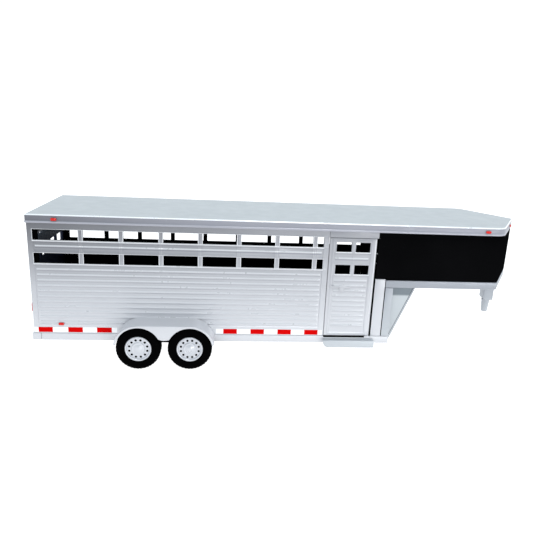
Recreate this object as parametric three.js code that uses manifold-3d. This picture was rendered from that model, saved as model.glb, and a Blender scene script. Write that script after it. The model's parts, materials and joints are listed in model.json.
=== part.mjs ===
// Toy gooseneck livestock trailer, a 1:20 scale model.
// Millimetres. +X is forward, +Y is the road (left) side, +Z is up, and the ground is z = 0.
// Inside this file X is measured forward from the rear face of the stock box; the finished
// group is then moved along X so that its origin lies at the middle of the bottom of its box.

import * as THREE from "three";
import { mergeVertices } from "three/addons/utils/BufferGeometryUtils.js";
import Module from "manifold-3d";

const wasm = await Module();
wasm.setup();

// ---------------------------------------------------------------- driving dimensions
const RIGHT = -1;                 // the curb side, which has the side door
const LEFT = 1;
const GAP = 0.3;                  // clearance between neighbouring pieces
const BITE = 0.1;                 // how far joined shapes run into each other

const HALF_WIDTH = 51.7;          // centre plane to the outer face of a side wall
const WALL_INNER = 49.9;
const SKIN_OUTER = 51.2;          // the wall's flat skin; its ribs and posts stand out to HALF_WIDTH
const RAIL_INNER = 48.5;
const GUSSET = { inner: 46.3, outer: 48.1 };

const BOX_FRONT = 320.4;          // front of the stock box
const TOE_FRONT = 328.4;          // foot of the sloping front wall
const BODY_BOTTOM = 18.8;
const RAIL_TOP = 25.5;
const WALL_TOP = 127.3;
const DECK = { bottom: 22.6, top: 24.4, front: 327.4 };
const SLOPE = { run: 0.411, thick: 1.95 };       // the front wall leans forward by this run per rise

const ROOF = { halfWidth: 55.4, bottom: 127.6, slab: 133.4, top: 135.2, rim: 5.7, rearRim: 6.0 };
const SLOTS = { upper: [112.2, 121.45], lower: [91.4, 100.5] };
const POSTS = { first: 44.78, pitch: 34.49, width: 4.2 };
const SLOT_START = 4.6;           // rear edge of the first slot
const SLOTS_END = { right: 259.5, left: 318.6 };
const RIBS = { lowest: 36.4, pitch: 4.9, count: 11, base: 2.6, crest: 1.2 };
const SILL_HEIGHT = 1.6;          // raised lip under each row of slots

const NOSE = { apexX: 462.2, slope: 0.628, shellInset: 0.9, railBottom: 74.7, railTop: 81.7 };
const NOSE_FLOOR = { bottom: 79, top: 81 };
const NOSE_WALL = { shell: 1.6, rail: 3 };
const NOSE_OFFSET = Math.hypot(1, NOSE.slope);   // X shift that moves a nose face 1 mm squarely
const ROOF_CORNER = { shoulder: 13.4, apex: 4 };
const FRONT_POST_TOP = 82.8;

const SIDE_DOOR = { rear: 265, front: 309, bottom: 26, top: 121.1, inner: 49.5, skin: 51, outer: 51.5 };
const DOORWAY = { rear: 264.7, front: 310.2, top: 121.5 };
const DOOR_PANEL = { x: [269.5, 303.5], bottom: 29, ribs: 10, middleRib: 101.6 };
const DOOR_WINDOWS = { x: [[271.5, 285.5], [289.4, 302.8]], upper: [108.1, 117.2], lower: [87, 95.8] };
const DOOR_LATCH = { x: [268, 287], z: [72.4, 75.4], thick: 0.7 };
const DOOR_HINGE = { x: 307, y: 50.1, pinRadius: 0.9, holeRadius: 1.2, depth: 2.2 };

const GATE = { halfWidth: 45.7, bottom: 26.1, top: 121, outerX: 0.4, innerX: 2.4 };
const GATE_OPENING = { y: [-41.7, -3.7], z: [30, 117] };
const GATE_PANES = { y: [[1, 19], [23, 41]], z: [[112.2, 118], SLOTS.lower] };
const GATE_LATCH = { x: [-0.9, 0.1], y: [-45.3, -43], z: [66, 80] };
const GATE_HINGE = { x: -1.1, y: 45.9, radius: 1.3, boreRadius: 1.0, pinRadius: 0.7 };
const GATE_KNUCKLES = [38, 74, 110];
const KNUCKLE = { gate: 5, post: 2.4 };
const HINGE_PIN_Z = [32, 116];
const SLIDER = { y: [-43.2, -2.2], z: [30.8, 116.2], x: [2.9, 4.1] };
const SLIDER_PANES = [
  { y: [[-31, -26.5]], z: [[113, 115.4]] },
  { y: [[-27, -20], [-13, -6]], z: [SLOTS.lower] },
];
const SLIDER_KNOB = { rear: -0.2, y: [-41, -39], z: [68, 78] };
const TRACK = { y: [-44.5, 33.5], lip: 0.7, hook: 1.4, shelf: 1 };
const REAR_POST = { inner: 46.2, outer: 49.6, front: 6, flange: 7.6 };
const SILL_REAR = -1.5;

const WHEELS = { rear: 95.3, front: 140.7, radius: 19.75, outer: 73.8, width: 14 };
const HUB_REACH = 8.6;            // from a wheel's inner face to the end of its axle
const AXLE_RADIUS = 1.5;
const TYRE = { bead: 11.9, shoulder: 13.5, tread: 3.2 };
const RIM = {
  outer: 11.6, lip: 10.3, well: 9.6, hub: 3.6, hubDisc: 5.6, discRear: 10.4, discFront: 11.8, hubFront: 12.9,
};
const RIM_HOLES = { count: 12, radius: 0.85, circle: 7.7, sides: 6 };
const FENDER = { radius: 22, skin: 1.2, endZ: 24, webBottom: 28.2, webCorner: 1.2 };
const SUSPENSION = { inner: 44, outer: 48, bottom: 15.6, arm: 11, taper: 3, corner: 2 };

const COUPLER = { x: 446.4, half: 5.25, bottom: 48.5, chamfer: 2 };
const PIN = { topRadius: 4.25, tipRadius: 3.1, tip: 34.8 };
const STEP = { x: [264, 312.8], outer: 58.4, top: 23.3, bottom: 16.6, plate: 1.5, corner: 5 };
const TAPE = { z: [26.6, 31.4], thick: 0.3, rear: [0.6, 73.5], front: [163.2, 263.4] };

// lamps: [length, height, depth], then where they sit
const MARKER = [5, 2.4, 1];
const TAIL_LAMP = [3.2, 9, 0.9];
const ROOF_MARKERS = { z: 131.2, rearX: 24.5, frontX: 411.3, noseY: 19 };
const SIDE_MARKER = { x: 24.4, z: 34.6 };
const TAIL_LAMP_PLACE = { y: 49.6, z: 50 };

const ARC_STEPS = 8;              // even, so that the nose tip keeps a corner on the centre plane
const TYRE_STEPS = 32;            // divisible by four, so that a tyre touches the ground at a corner
const RIM_STEPS = 24;
const PIN_STEPS = 12;
const LAMP_STEPS = 3;

// ---------------------------------------------------------------- materials
function plastic(color, roughness, metalness) {
  return new THREE.MeshStandardMaterial({ color, roughness, metalness });
}
const SILVER = () => plastic(0xb9bcc4, 0.42, 0.45);
const ROOF_SILVER = () => plastic(0xc8d4da, 0.5, 0.3);
const BLACK = () => plastic(0x0a0a0b, 0.5, 0);
const RUBBER = () => plastic(0x0c0c0d, 0.8, 0);
const WHEEL_SILVER = () => plastic(0xe6eaef, 0.35, 0.4);
const STEEL = () => plastic(0x8d9096, 0.3, 0.9);
const RED_LENS = () => plastic(0xd81c10, 0.25, 0);
const TAPE_WHITE = () => plastic(0xf4f4f4, 0.4, 0);

// ---------------------------------------------------------------- solids
function toSolid(geometry) {
  const bare = geometry.clone();
  bare.deleteAttribute("normal");
  bare.deleteAttribute("uv");
  const merged = mergeVertices(bare);
  return new wasm.Manifold(new wasm.Mesh({
    numProp: 3,
    vertProperties: new Float32Array(merged.attributes.position.array),
    triVerts: new Uint32Array(merged.index.array),
  }));
}

function toGeometry(solid) {
  const mesh = solid.getMesh();
  const geometry = new THREE.BufferGeometry();
  geometry.setAttribute("position", new THREE.BufferAttribute(mesh.vertProperties, 3));
  geometry.setIndex(new THREE.BufferAttribute(mesh.triVerts, 1));
  geometry.computeVertexNormals();
  return geometry;
}

function join(...pieces) {
  return toGeometry(pieces.map(toSolid).reduce((whole, piece) => whole.add(piece)));
}

function cut(body, ...tools) {
  return toGeometry(tools.map(toSolid).reduce((rest, tool) => rest.subtract(tool), toSolid(body)));
}

// ---------------------------------------------------------------- shapes
// a box between two corners; blocks that share a plane get exactly the same coordinate
function block(x, y, z) {
  const geometry = new THREE.BoxGeometry(1, 1, 1);
  const corners = geometry.attributes.position;
  const pick = (value, [low, high]) => (value < 0 ? low : high);
  for (let i = 0; i < corners.count; i += 1) {
    corners.setXYZ(i, pick(corners.getX(i), x), pick(corners.getY(i), y), pick(corners.getZ(i), z));
  }
  return geometry;
}

// the Y range between two distances from the centre plane, on one side
function across(side, near, far) {
  return side === RIGHT ? [-far, -near] : [near, far];
}

function outline(points) {
  return new THREE.Shape(points.map(([a, b]) => new THREE.Vector2(a, b)));
}

// a closed outline through corners given as [x, y, radius]
function roundedOutline(corners) {
  const shape = new THREE.Shape();
  corners.forEach(([x, y, radius], i) => {
    const before = corners.at(i - 1);
    const after = corners[(i + 1) % corners.length];
    const corner = new THREE.Vector2(x, y);
    const goTo = ({ x: toX, y: toY }) => (i === 0 ? shape.moveTo(toX, toY) : shape.lineTo(toX, toY));
    if (!radius) {
      goTo(corner);
      return;
    }
    const back = new THREE.Vector2(before[0] - x, before[1] - y).normalize();
    const ahead = new THREE.Vector2(after[0] - x, after[1] - y).normalize();
    const half = Math.acos(back.dot(ahead)) / 2;
    const reach = radius / Math.tan(half);
    const start = corner.clone().addScaledVector(back, reach);
    const end = corner.clone().addScaledVector(ahead, reach);
    const inward = back.clone().add(ahead).normalize();
    const centre = corner.clone().addScaledVector(inward, radius / Math.sin(half));
    goTo(start);
    const from = start.sub(centre).angle();
    const to = end.sub(centre).angle();
    shape.absarc(centre.x, centre.y, radius, from, to, back.cross(ahead) > 0);
  });
  return shape;
}

// an outline drawn in the X-Z plane, given its thickness along Y
function slabXZ(shape, y, curveSegments = ARC_STEPS) {
  const settings = { depth: y[1] - y[0], bevelEnabled: false, curveSegments };
  return new THREE.ExtrudeGeometry(shape, settings).rotateX(Math.PI / 2).translate(0, y[1], 0);
}

// an outline drawn in the X-Y plane, given its thickness along Z
function slabXY(shape, z) {
  const settings = { depth: z[1] - z[0], bevelEnabled: false, curveSegments: ARC_STEPS };
  return new THREE.ExtrudeGeometry(shape, settings).translate(0, 0, z[0]);
}

// an outline drawn in the Y-Z plane, given its thickness along X
function slabYZ(shape, x) {
  const settings = { depth: x[1] - x[0], bevelEnabled: false, curveSegments: ARC_STEPS };
  const geometry = new THREE.ExtrudeGeometry(shape, settings);
  return geometry.rotateX(Math.PI / 2).rotateZ(Math.PI / 2).translate(x[0], 0, 0);
}

function upright(radius, x, y, z) {
  const geometry = new THREE.CylinderGeometry(radius, radius, z[1] - z[0], PIN_STEPS);
  return geometry.rotateX(Math.PI / 2).translate(x, y, (z[0] + z[1]) / 2);
}

// a cylinder lying across the trailer
function crossbar(radius, x, y, z) {
  const geometry = new THREE.CylinderGeometry(radius, radius, y[1] - y[0], PIN_STEPS);
  return geometry.translate(x, (y[0] + y[1]) / 2, z);
}

// ---------------------------------------------------------------- the model
const trailer = new THREE.Group();

function add(name, geometry, material) {
  const mesh = new THREE.Mesh(geometry, material);
  mesh.name = name;
  trailer.add(mesh);
  return mesh;
}

// ---------------------------------------------------------------- roof
// the roof's plan: straight sides, rounded shoulders and a blunt arrow-shaped front
function roofPlan() {
  const shoulderX = NOSE.apexX - NOSE.slope * ROOF.halfWidth;
  return roundedOutline([
    [0, -ROOF.halfWidth, 0],
    [shoulderX, -ROOF.halfWidth, ROOF_CORNER.shoulder],
    [NOSE.apexX, 0, ROOF_CORNER.apex],
    [shoulderX, ROOF.halfWidth, ROOF_CORNER.shoulder],
    [0, ROOF.halfWidth, 0],
  ]);
}

function arrowPlan(rearX, halfWidth, apexX) {
  const shoulderX = apexX - NOSE.slope * halfWidth;
  return outline([
    [rearX, -halfWidth],
    [shoulderX, -halfWidth],
    [apexX, 0],
    [shoulderX, halfWidth],
    [rearX, halfWidth],
  ]);
}

function roof() {
  const apexX = NOSE.apexX - ROOF.rim * NOSE_OFFSET;
  const pocket = arrowPlan(ROOF.rearRim, ROOF.halfWidth - ROOF.rim, apexX);
  return cut(slabXY(roofPlan(), [ROOF.bottom, ROOF.top]), slabXY(pocket, [ROOF.bottom - 1, ROOF.slab]));
}

// ---------------------------------------------------------------- side walls
// the clear spans between window posts, from the rear corner to the front edge of the slots
function slotSpans(frontX) {
  const spans = [];
  let start = SLOT_START;
  for (let centre = POSTS.first; centre < frontX; centre += POSTS.pitch) {
    spans.push([start, centre - POSTS.width / 2]);
    start = centre + POSTS.width / 2;
  }
  spans.push([start, frontX]);
  return spans;
}

// cutters for rows of window slots in a wall that lies across the given axis
function slotCutters(spans, rows, through, axis = "y") {
  return rows.flatMap((z) => spans.map((span) => (
    axis === "y" ? block(span, through, z) : block(through, span, z)
  )));
}

// one horizontal corrugation: a bar of trapezium section, standing out of the skin
function rib(side, x, z, skin, crest) {
  const foot = skin - BITE;
  const section = outline([
    [side * foot, z - RIBS.base / 2], [side * crest, z - RIBS.crest / 2],
    [side * crest, z + RIBS.crest / 2], [side * foot, z + RIBS.base / 2],
  ]);
  return slabYZ(section, x);
}

function ribHeights(count = RIBS.count) {
  return Array.from({ length: count }, (_, i) => RIBS.lowest + i * RIBS.pitch);
}

function sideWall(side, slotsEnd, wallEnd) {
  const sheet = block([GAP, wallEnd], across(side, WALL_INNER, HALF_WIDTH), [RAIL_TOP + GAP, WALL_TOP]);
  const spans = slotSpans(slotsEnd);
  const through = across(side, WALL_INNER - 1, HALF_WIDTH + 1);
  const windows = slotCutters(spans, [SLOTS.upper, SLOTS.lower], through);
  const panel = [SLOT_START, slotsEnd];
  const recess = across(side, SKIN_OUTER, HALF_WIDTH + 1);
  const pockets = [
    block(panel, recess, [RIBS.lowest - RIBS.pitch / 2, SLOTS.lower[0] - SILL_HEIGHT]),
    block(panel, recess, [SLOTS.lower[1] + SILL_HEIGHT / 2, SLOTS.upper[0] - SILL_HEIGHT]),
  ];
  const ribSpan = [SLOT_START + 1, slotsEnd - 1];
  const heights = [...ribHeights(), (SLOTS.upper[0] + SLOTS.lower[1]) / 2];
  const ribs = heights.map((z) => rib(side, ribSpan, z, SKIN_OUTER, HALF_WIDTH));
  return join(cut(sheet, ...windows, ...pockets), ...ribs);
}

function lowerRail(side) {
  const length = [REAR_POST.front + GAP, TOE_FRONT - GAP];
  const rail = block(length, across(side, RAIL_INNER, HALF_WIDTH), [BODY_BOTTOM, RAIL_TOP]);
  const notchHalf = AXLE_RADIUS + 1;
  const through = across(side, RAIL_INNER - 1, HALF_WIDTH + 1);
  const notches = [WHEELS.rear, WHEELS.front].map((x) => (
    block([x - notchHalf, x + notchHalf], through, [BODY_BOTTOM - 1, WHEELS.radius + notchHalf])
  ));
  if (side === LEFT) return cut(rail, ...notches);
  return cut(rail, ...notches, hingeHole([RAIL_TOP - DOOR_HINGE.depth, RAIL_TOP + 1]));
}

function hingeHole(z) {
  return upright(DOOR_HINGE.holeRadius, DOOR_HINGE.x, -DOOR_HINGE.y, z);
}

function doorHeader() {
  const span = [DOORWAY.rear, DOORWAY.front];
  const bar = block(span, across(RIGHT, RAIL_INNER, HALF_WIDTH), [DOORWAY.top, WALL_TOP]);
  return cut(bar, hingeHole([DOORWAY.top - 1, DOORWAY.top + DOOR_HINGE.depth]));
}

// ---------------------------------------------------------------- side door
function sideDoor() {
  const { rear, front, bottom, top, inner, skin, outer } = SIDE_DOOR;
  const { x: panel, bottom: panelBottom } = DOOR_PANEL;
  const { upper, lower } = DOOR_WINDOWS;
  const sheet = block([rear, front], across(RIGHT, inner, outer), [bottom, top]);
  const windows = slotCutters(DOOR_WINDOWS.x, [upper, lower], across(RIGHT, inner - 1, outer + 1));
  const recess = across(RIGHT, skin, outer + 1);
  const pockets = [
    block(panel, recess, [panelBottom, lower[0] - SILL_HEIGHT]),
    block(panel, recess, [lower[1] + SILL_HEIGHT / 2, upper[0] - SILL_HEIGHT]),
  ];
  const ribSpan = [panel[0] + 1, panel[1] - 1];
  const heights = [...ribHeights(DOOR_PANEL.ribs), DOOR_PANEL.middleRib];
  const ribs = heights.map((z) => rib(RIGHT, ribSpan, z, skin, outer));
  const pinSpans = [
    [bottom - DOOR_HINGE.depth + GAP, bottom + BITE],
    [top - BITE, top + DOOR_HINGE.depth],
  ];
  const pins = pinSpans.map((z) => upright(DOOR_HINGE.pinRadius, DOOR_HINGE.x, -DOOR_HINGE.y, z));
  return join(cut(sheet, ...windows, ...pockets), ...ribs, ...pins);
}

// a flat bar across the door's seam with the wall
function doorLatch() {
  const inner = SIDE_DOOR.outer + GAP;
  return block(DOOR_LATCH.x, across(RIGHT, inner, inner + DOOR_LATCH.thick), DOOR_LATCH.z);
}

// ---------------------------------------------------------------- rear end
// a hinge eye around the gate's upright pin, with the tab that ties it to its leaf
function knuckle(z, tabY, tabX) {
  const { x, y, radius } = GATE_HINGE;
  return [upright(radius, x, y, z), block([x, tabX], tabY, z)];
}

function knuckleSpans(owner) {
  const half = KNUCKLE.gate / 2;
  if (owner === "gate") return GATE_KNUCKLES.map((z) => [z - half, z + half]);
  return GATE_KNUCKLES.flatMap((z) => [
    [z + half + GAP, z + half + GAP + KNUCKLE.post],
    [z - half - GAP - KNUCKLE.post, z - half - GAP],
  ]);
}

function hingeBore() {
  return upright(GATE_HINGE.boreRadius, GATE_HINGE.x, GATE_HINGE.y, [GATE.bottom, GATE.top]);
}

function rearPost(side) {
  const width = across(side, REAR_POST.inner, REAR_POST.outer);
  const post = block([GAP, REAR_POST.flange], width, [RAIL_TOP + GAP, WALL_TOP]);
  if (side === RIGHT) return post;
  const tabY = [REAR_POST.inner, GATE_HINGE.y + GATE_HINGE.radius];
  const eyes = knuckleSpans("post").flatMap((z) => knuckle(z, tabY, GAP + BITE));
  return cut(join(post, ...eyes), hingeBore());
}

// the swinging gate: one half is a slotted panel, the other an opening that the slider covers
function gate() {
  const { halfWidth, bottom, top, outerX, innerX } = GATE;
  const depth = [outerX, innerX];
  const through = [outerX - 1, innerX + 1];
  const panes = slotCutters(GATE_PANES.y, GATE_PANES.z, through, "x");
  const opening = block(through, GATE_OPENING.y, GATE_OPENING.z);
  const plate = cut(block(depth, [-halfWidth, halfWidth], [bottom, top]), opening, ...panes);
  const tabY = [GATE_HINGE.y - GATE_HINGE.radius, halfWidth - GAP];
  const eyes = knuckleSpans("gate").flatMap((z) => knuckle(z, tabY, outerX + BITE));
  const leaf = join(plate, ...eyes, ...sliderTracks());
  return cut(leaf, hingeBore());
}

// hooked rails on the gate's inner face that carry the slider's top and bottom edges
function sliderTracks() {
  const lip = SLIDER.x[1] + GAP;
  const lipFar = lip + TRACK.lip;
  return [[SLIDER.z[1] + GAP, 1], [SLIDER.z[0] - GAP, -1]].flatMap(([edge, away]) => {
    const far = edge + away * TRACK.shelf;
    const shelfZ = [edge, far].sort((a, b) => a - b);
    const lipZ = [edge - away * TRACK.hook, far].sort((a, b) => a - b);
    return [block([GATE.innerX - BITE, lipFar], TRACK.y, shelfZ), block([lip, lipFar], TRACK.y, lipZ)];
  });
}

function gateSlider() {
  const [rear, front] = SLIDER.x;
  const panes = SLIDER_PANES.flatMap(({ y, z }) => slotCutters(y, z, [rear - 1, front + 1], "x"));
  const plate = cut(block(SLIDER.x, SLIDER.y, SLIDER.z), ...panes);
  const knob = block([SLIDER_KNOB.rear, rear + BITE], SLIDER_KNOB.y, SLIDER_KNOB.z);
  return join(plate, knob);
}

// ---------------------------------------------------------------- nose and gooseneck
// half of a wall that follows the nose: the straight side, then the angled front to the centre plane
function noseStrip(side, rearX, halfWidth, apexX, thickness) {
  const innerApex = apexX - thickness * NOSE_OFFSET;
  const seam = GAP / 2;
  const faceX = (apex, y) => apex - NOSE.slope * y;
  const inner = halfWidth - thickness;
  return outline([
    [rearX, side * halfWidth],
    [faceX(apexX, halfWidth), side * halfWidth],
    [faceX(apexX, seam), side * seam],
    [faceX(innerApex, seam), side * seam],
    [faceX(innerApex, inner), side * inner],
    [rearX, side * inner],
  ]);
}

function noseShell(side) {
  const rearX = side === RIGHT ? DOORWAY.front + GAP : BOX_FRONT;
  const plan = noseStrip(side, rearX, HALF_WIDTH, NOSE.apexX - NOSE.shellInset, NOSE_WALL.shell);
  const shell = slabXY(plan, [NOSE.railTop + GAP, WALL_TOP]);
  if (side === LEFT) return shell;
  const abovePost = [NOSE.railTop, FRONT_POST_TOP + GAP];
  return cut(shell, block([rearX - 1, BOX_FRONT + GAP], across(side, RAIL_INNER, HALF_WIDTH + 1), abovePost));
}

function noseRail(side) {
  const apexX = NOSE.apexX - NOSE.shellInset;
  const plan = noseStrip(side, BOX_FRONT + GAP, HALF_WIDTH, apexX, NOSE_WALL.rail);
  return slabXY(plan, [NOSE.railBottom, NOSE.railTop]);
}

function noseFloor() {
  const inset = NOSE_WALL.rail + GAP;
  const apexX = NOSE.apexX - NOSE.shellInset - inset * NOSE_OFFSET;
  const plan = arrowPlan(TOE_FRONT + GAP, HALF_WIDTH - inset, apexX);
  return slabXY(plan, [NOSE_FLOOR.bottom, NOSE_FLOOR.top]);
}

// the sloping front wall's outer face, as X at a height
function slopeX(z) {
  return TOE_FRONT + (z - BODY_BOTTOM) * SLOPE.run;
}

function frontWall() {
  const top = NOSE_FLOOR.bottom - GAP;
  const section = outline([
    [slopeX(BODY_BOTTOM) - SLOPE.thick, BODY_BOTTOM],
    [slopeX(BODY_BOTTOM), BODY_BOTTOM],
    [slopeX(top), top],
    [slopeX(top) - SLOPE.thick, top],
  ]);
  return slabXZ(section, [-GUSSET.outer, GUSSET.outer]);
}

// the triangular side plate that closes the box between its front columns and the front wall
function gusset(side) {
  const bottom = DECK.bottom;
  const top = NOSE_FLOOR.bottom - GAP;
  const back = SLOPE.thick + GAP;
  const plate = outline([
    [BOX_FRONT + GAP, bottom],
    [slopeX(bottom) - back, bottom],
    [slopeX(top) - back, top],
    [BOX_FRONT + GAP, top],
  ]);
  return slabXZ(plate, across(side, GUSSET.inner, GUSSET.outer));
}

// the deck's rear corners are notched for the corner posts, its front corners for the gussets
function deck() {
  const wide = RAIL_INNER - GAP;
  const narrow = GUSSET.inner - GAP;
  const postSide = REAR_POST.inner - GAP;
  const rear = REAR_POST.front + GAP;
  const postFront = REAR_POST.flange + GAP;
  const plan = outline([
    [rear, -postSide],
    [postFront, -postSide],
    [postFront, -wide],
    [BOX_FRONT, -wide],
    [BOX_FRONT, -narrow],
    [DECK.front, -narrow],
    [DECK.front, narrow],
    [BOX_FRONT, narrow],
    [BOX_FRONT, wide],
    [postFront, wide],
    [postFront, postSide],
    [rear, postSide],
  ]);
  return slabXY(plan, [DECK.bottom, DECK.top]);
}

function couplerNeck() {
  const { x, half, bottom, chamfer } = COUPLER;
  const top = NOSE_FLOOR.bottom - GAP;
  const section = outline([
    [x - half + chamfer, bottom],
    [x + half, bottom],
    [x + half, top],
    [x - half, top],
    [x - half, bottom + chamfer],
  ]);
  return slabXZ(section, [-half, half]);
}

function couplerPin() {
  const { topRadius, tipRadius, tip } = PIN;
  const top = COUPLER.bottom - GAP;
  const pin = new THREE.CylinderGeometry(topRadius, tipRadius, top - tip, 2 * PIN_STEPS);
  return pin.rotateX(Math.PI / 2).translate(COUPLER.x, 0, (top + tip) / 2);
}

// ---------------------------------------------------------------- running gear
function suspension(side) {
  const { inner, outer, bottom, arm, taper, corner } = SUSPENSION;
  const top = DECK.bottom - GAP;
  const plate = roundedOutline([
    [WHEELS.rear - arm, top, 0],
    [WHEELS.rear - arm + taper, bottom, corner],
    [WHEELS.front + arm - taper, bottom, corner],
    [WHEELS.front + arm, top, 0],
  ]);
  const bores = [WHEELS.rear, WHEELS.front].map((x) => (
    crossbar(AXLE_RADIUS + GAP, x, across(side, inner - 1, outer + 1), WHEELS.radius)
  ));
  return cut(slabXZ(plate, across(side, inner, outer)), ...bores);
}

// an outline that follows the fender: an arc over each wheel and a flat between them
function archPoints(shape, radius, endAngle, reverse) {
  const { rear, front, radius: centreZ } = WHEELS;
  if (reverse) {
    shape.absarc(front, centreZ, radius, endAngle, Math.PI / 2, false);
    shape.absarc(rear, centreZ, radius, Math.PI / 2, Math.PI - endAngle, false);
  } else {
    shape.absarc(rear, centreZ, radius, Math.PI - endAngle, Math.PI / 2, true);
    shape.absarc(front, centreZ, radius, Math.PI / 2, endAngle, true);
  }
}

function fender(side) {
  const { radius, skin, endZ, webBottom, webCorner } = FENDER;
  const { rear, front, radius: centreZ } = WHEELS;
  const inner = radius - skin;
  const rise = endZ - centreZ;
  const arch = new THREE.Shape();
  archPoints(arch, radius, Math.asin(rise / radius), false);
  archPoints(arch, inner, Math.asin(rise / inner), true);

  // the web fills the face between the two wheel cut-outs down to a rounded tongue
  const web = new THREE.Shape();
  const dip = Math.asin((webBottom + webCorner - centreZ) / inner);
  const tongueX = front - inner * Math.cos(dip);
  const tongueZ = centreZ + inner * Math.sin(dip);
  const webTop = centreZ + inner + skin / 2;
  web.moveTo(rear, webTop);
  web.absarc(rear, centreZ, inner, Math.PI / 2, dip, true);
  web.quadraticCurveTo((rear + front) / 2, webBottom - webCorner, tongueX, tongueZ);
  web.absarc(front, centreZ, inner, Math.PI - dip, Math.PI / 2, true);
  web.lineTo(front, webTop);
  const face = across(side, WHEELS.outer - skin, WHEELS.outer);
  return join(slabXZ(arch, across(side, HALF_WIDTH + GAP, WHEELS.outer)), slabXZ(web, face));
}

function axle() {
  const end = WHEELS.outer - WHEELS.width + HUB_REACH;
  return crossbar(AXLE_RADIUS, 0, [-end, end], 0);
}

function spin(points, steps) {
  return new THREE.LatheGeometry(points.map(([r, t]) => new THREE.Vector2(r, t)), steps);
}

// wheel profiles: radius, then distance outward from the wheel's inner face
function tyre() {
  const { radius, width } = WHEELS;
  const { bead, shoulder, tread } = TYRE;
  return spin([
    [bead, 0.8],
    [shoulder, 0],
    [radius - 2.2, 0.4],
    [radius - 0.6, tread / 2],
    [radius, tread],
    [radius, width - tread],
    [radius - 0.6, width - tread / 2],
    [radius - 2.2, width - 0.4],
    [shoulder, width],
    [bead, width - 0.8],
    [bead, 0.8],
  ], TYRE_STEPS);
}

function rim() {
  const { outer, lip, well, hub, hubDisc, discRear, discFront, hubFront } = RIM;
  const bore = AXLE_RADIUS + GAP;
  const body = spin([
    [0, HUB_REACH + GAP],
    [bore, HUB_REACH + GAP],
    [bore, 1.5],
    [hub, 1.5],
    [hub, discRear],
    [well, discRear],
    [well, 0.6],
    [outer, 0.6],
    [outer, WHEELS.width - 0.6],
    [lip, WHEELS.width - 0.6],
    [well - 0.2, discFront],
    [hubDisc + 0.4, discFront],
    [hubDisc, hubFront],
    [0, hubFront],
  ], RIM_STEPS);
  const { count, radius, circle } = RIM_HOLES;
  const middle = (discRear + discFront) / 2;
  const holes = Array.from({ length: count }, (_, i) => {
    const angle = (i + 0.5) * 2 * Math.PI / count;
    const hole = new THREE.CylinderGeometry(radius, radius, 2 * (discFront - discRear), RIM_HOLES.sides);
    return hole.translate(circle * Math.cos(angle), middle, circle * Math.sin(angle));
  });
  return cut(body, ...holes);
}

function addWheel(name, side, x) {
  [["tyre", tyre, RUBBER], ["rim", rim, WHEEL_SILVER]].forEach(([kind, make, finish]) => {
    const mesh = add(`${kind}_${name}`, make(), finish());
    mesh.position.set(x, side * (WHEELS.outer - WHEELS.width), WHEELS.radius);
    mesh.rotation.z = side === RIGHT ? Math.PI : 0;
  });
}

// ---------------------------------------------------------------- trim
function doorStep() {
  const { x: [rear, front], top, bottom, plate: thick, corner, outer } = STEP;
  const lip = roundedOutline([
    [rear, top, 0],
    [rear, bottom, corner],
    [front, bottom, 0],
    [front, top, 0],
  ]);
  const plate = block(STEP.x, across(RIGHT, HALF_WIDTH + GAP, outer - BITE), [top - thick, top]);
  return join(slabXZ(lip, across(RIGHT, outer - thick, outer)), plate);
}

function tape(side, x) {
  return block(x, across(side, HALF_WIDTH + GAP, HALF_WIDTH + GAP + TAPE.thick), TAPE.z);
}

// a small pill-shaped lamp, drawn facing +Y and standing on y = 0
function lamp(length, height, depth) {
  const [l, h] = [length / 2, height / 2];
  const corner = 0.95 * Math.min(l, h);
  const pill = roundedOutline([[-l, -h, corner], [l, -h, corner], [l, h, corner], [-l, h, corner]]);
  return slabXZ(pill, [0, depth], LAMP_STEPS);
}

// ---------------------------------------------------------------- assembly
function addBlock(name, x, y, z, material = SILVER()) {
  add(name, block(x, y, z), material);
}

function addLamp(name, size, position, turn) {
  const mesh = add(name, lamp(...size), RED_LENS());
  mesh.position.set(...position);
  mesh.rotation.z = turn;
}

add("roof", roof(), ROOF_SILVER());
add("right_wall", sideWall(RIGHT, SLOTS_END.right, DOORWAY.rear - GAP), SILVER());
add("left_wall", sideWall(LEFT, SLOTS_END.left, BOX_FRONT - GAP), SILVER());
add("door_header", doorHeader(), SILVER());
add("deck", deck(), SILVER());
add("front_wall", frontWall(), SILVER());
add("nose_floor", noseFloor(), SILVER());
add("coupler_neck", couplerNeck(), SILVER());
add("coupler_pin", couplerPin(), SILVER());
add("door_step", doorStep(), SILVER());

const postX = [DOORWAY.front, BOX_FRONT - GAP];
addBlock("front_post", postX, across(RIGHT, RAIL_INNER, HALF_WIDTH), [RAIL_TOP + GAP, FRONT_POST_TOP]);

const rearWidth = REAR_POST.inner - GAP;
addBlock("rear_sill", [SILL_REAR, REAR_POST.front], [-HALF_WIDTH, HALF_WIDTH], [BODY_BOTTOM, RAIL_TOP]);
addBlock("rear_header", [GAP, REAR_POST.front], [-rearWidth, rearWidth], [DOORWAY.top, WALL_TOP]);

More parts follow.
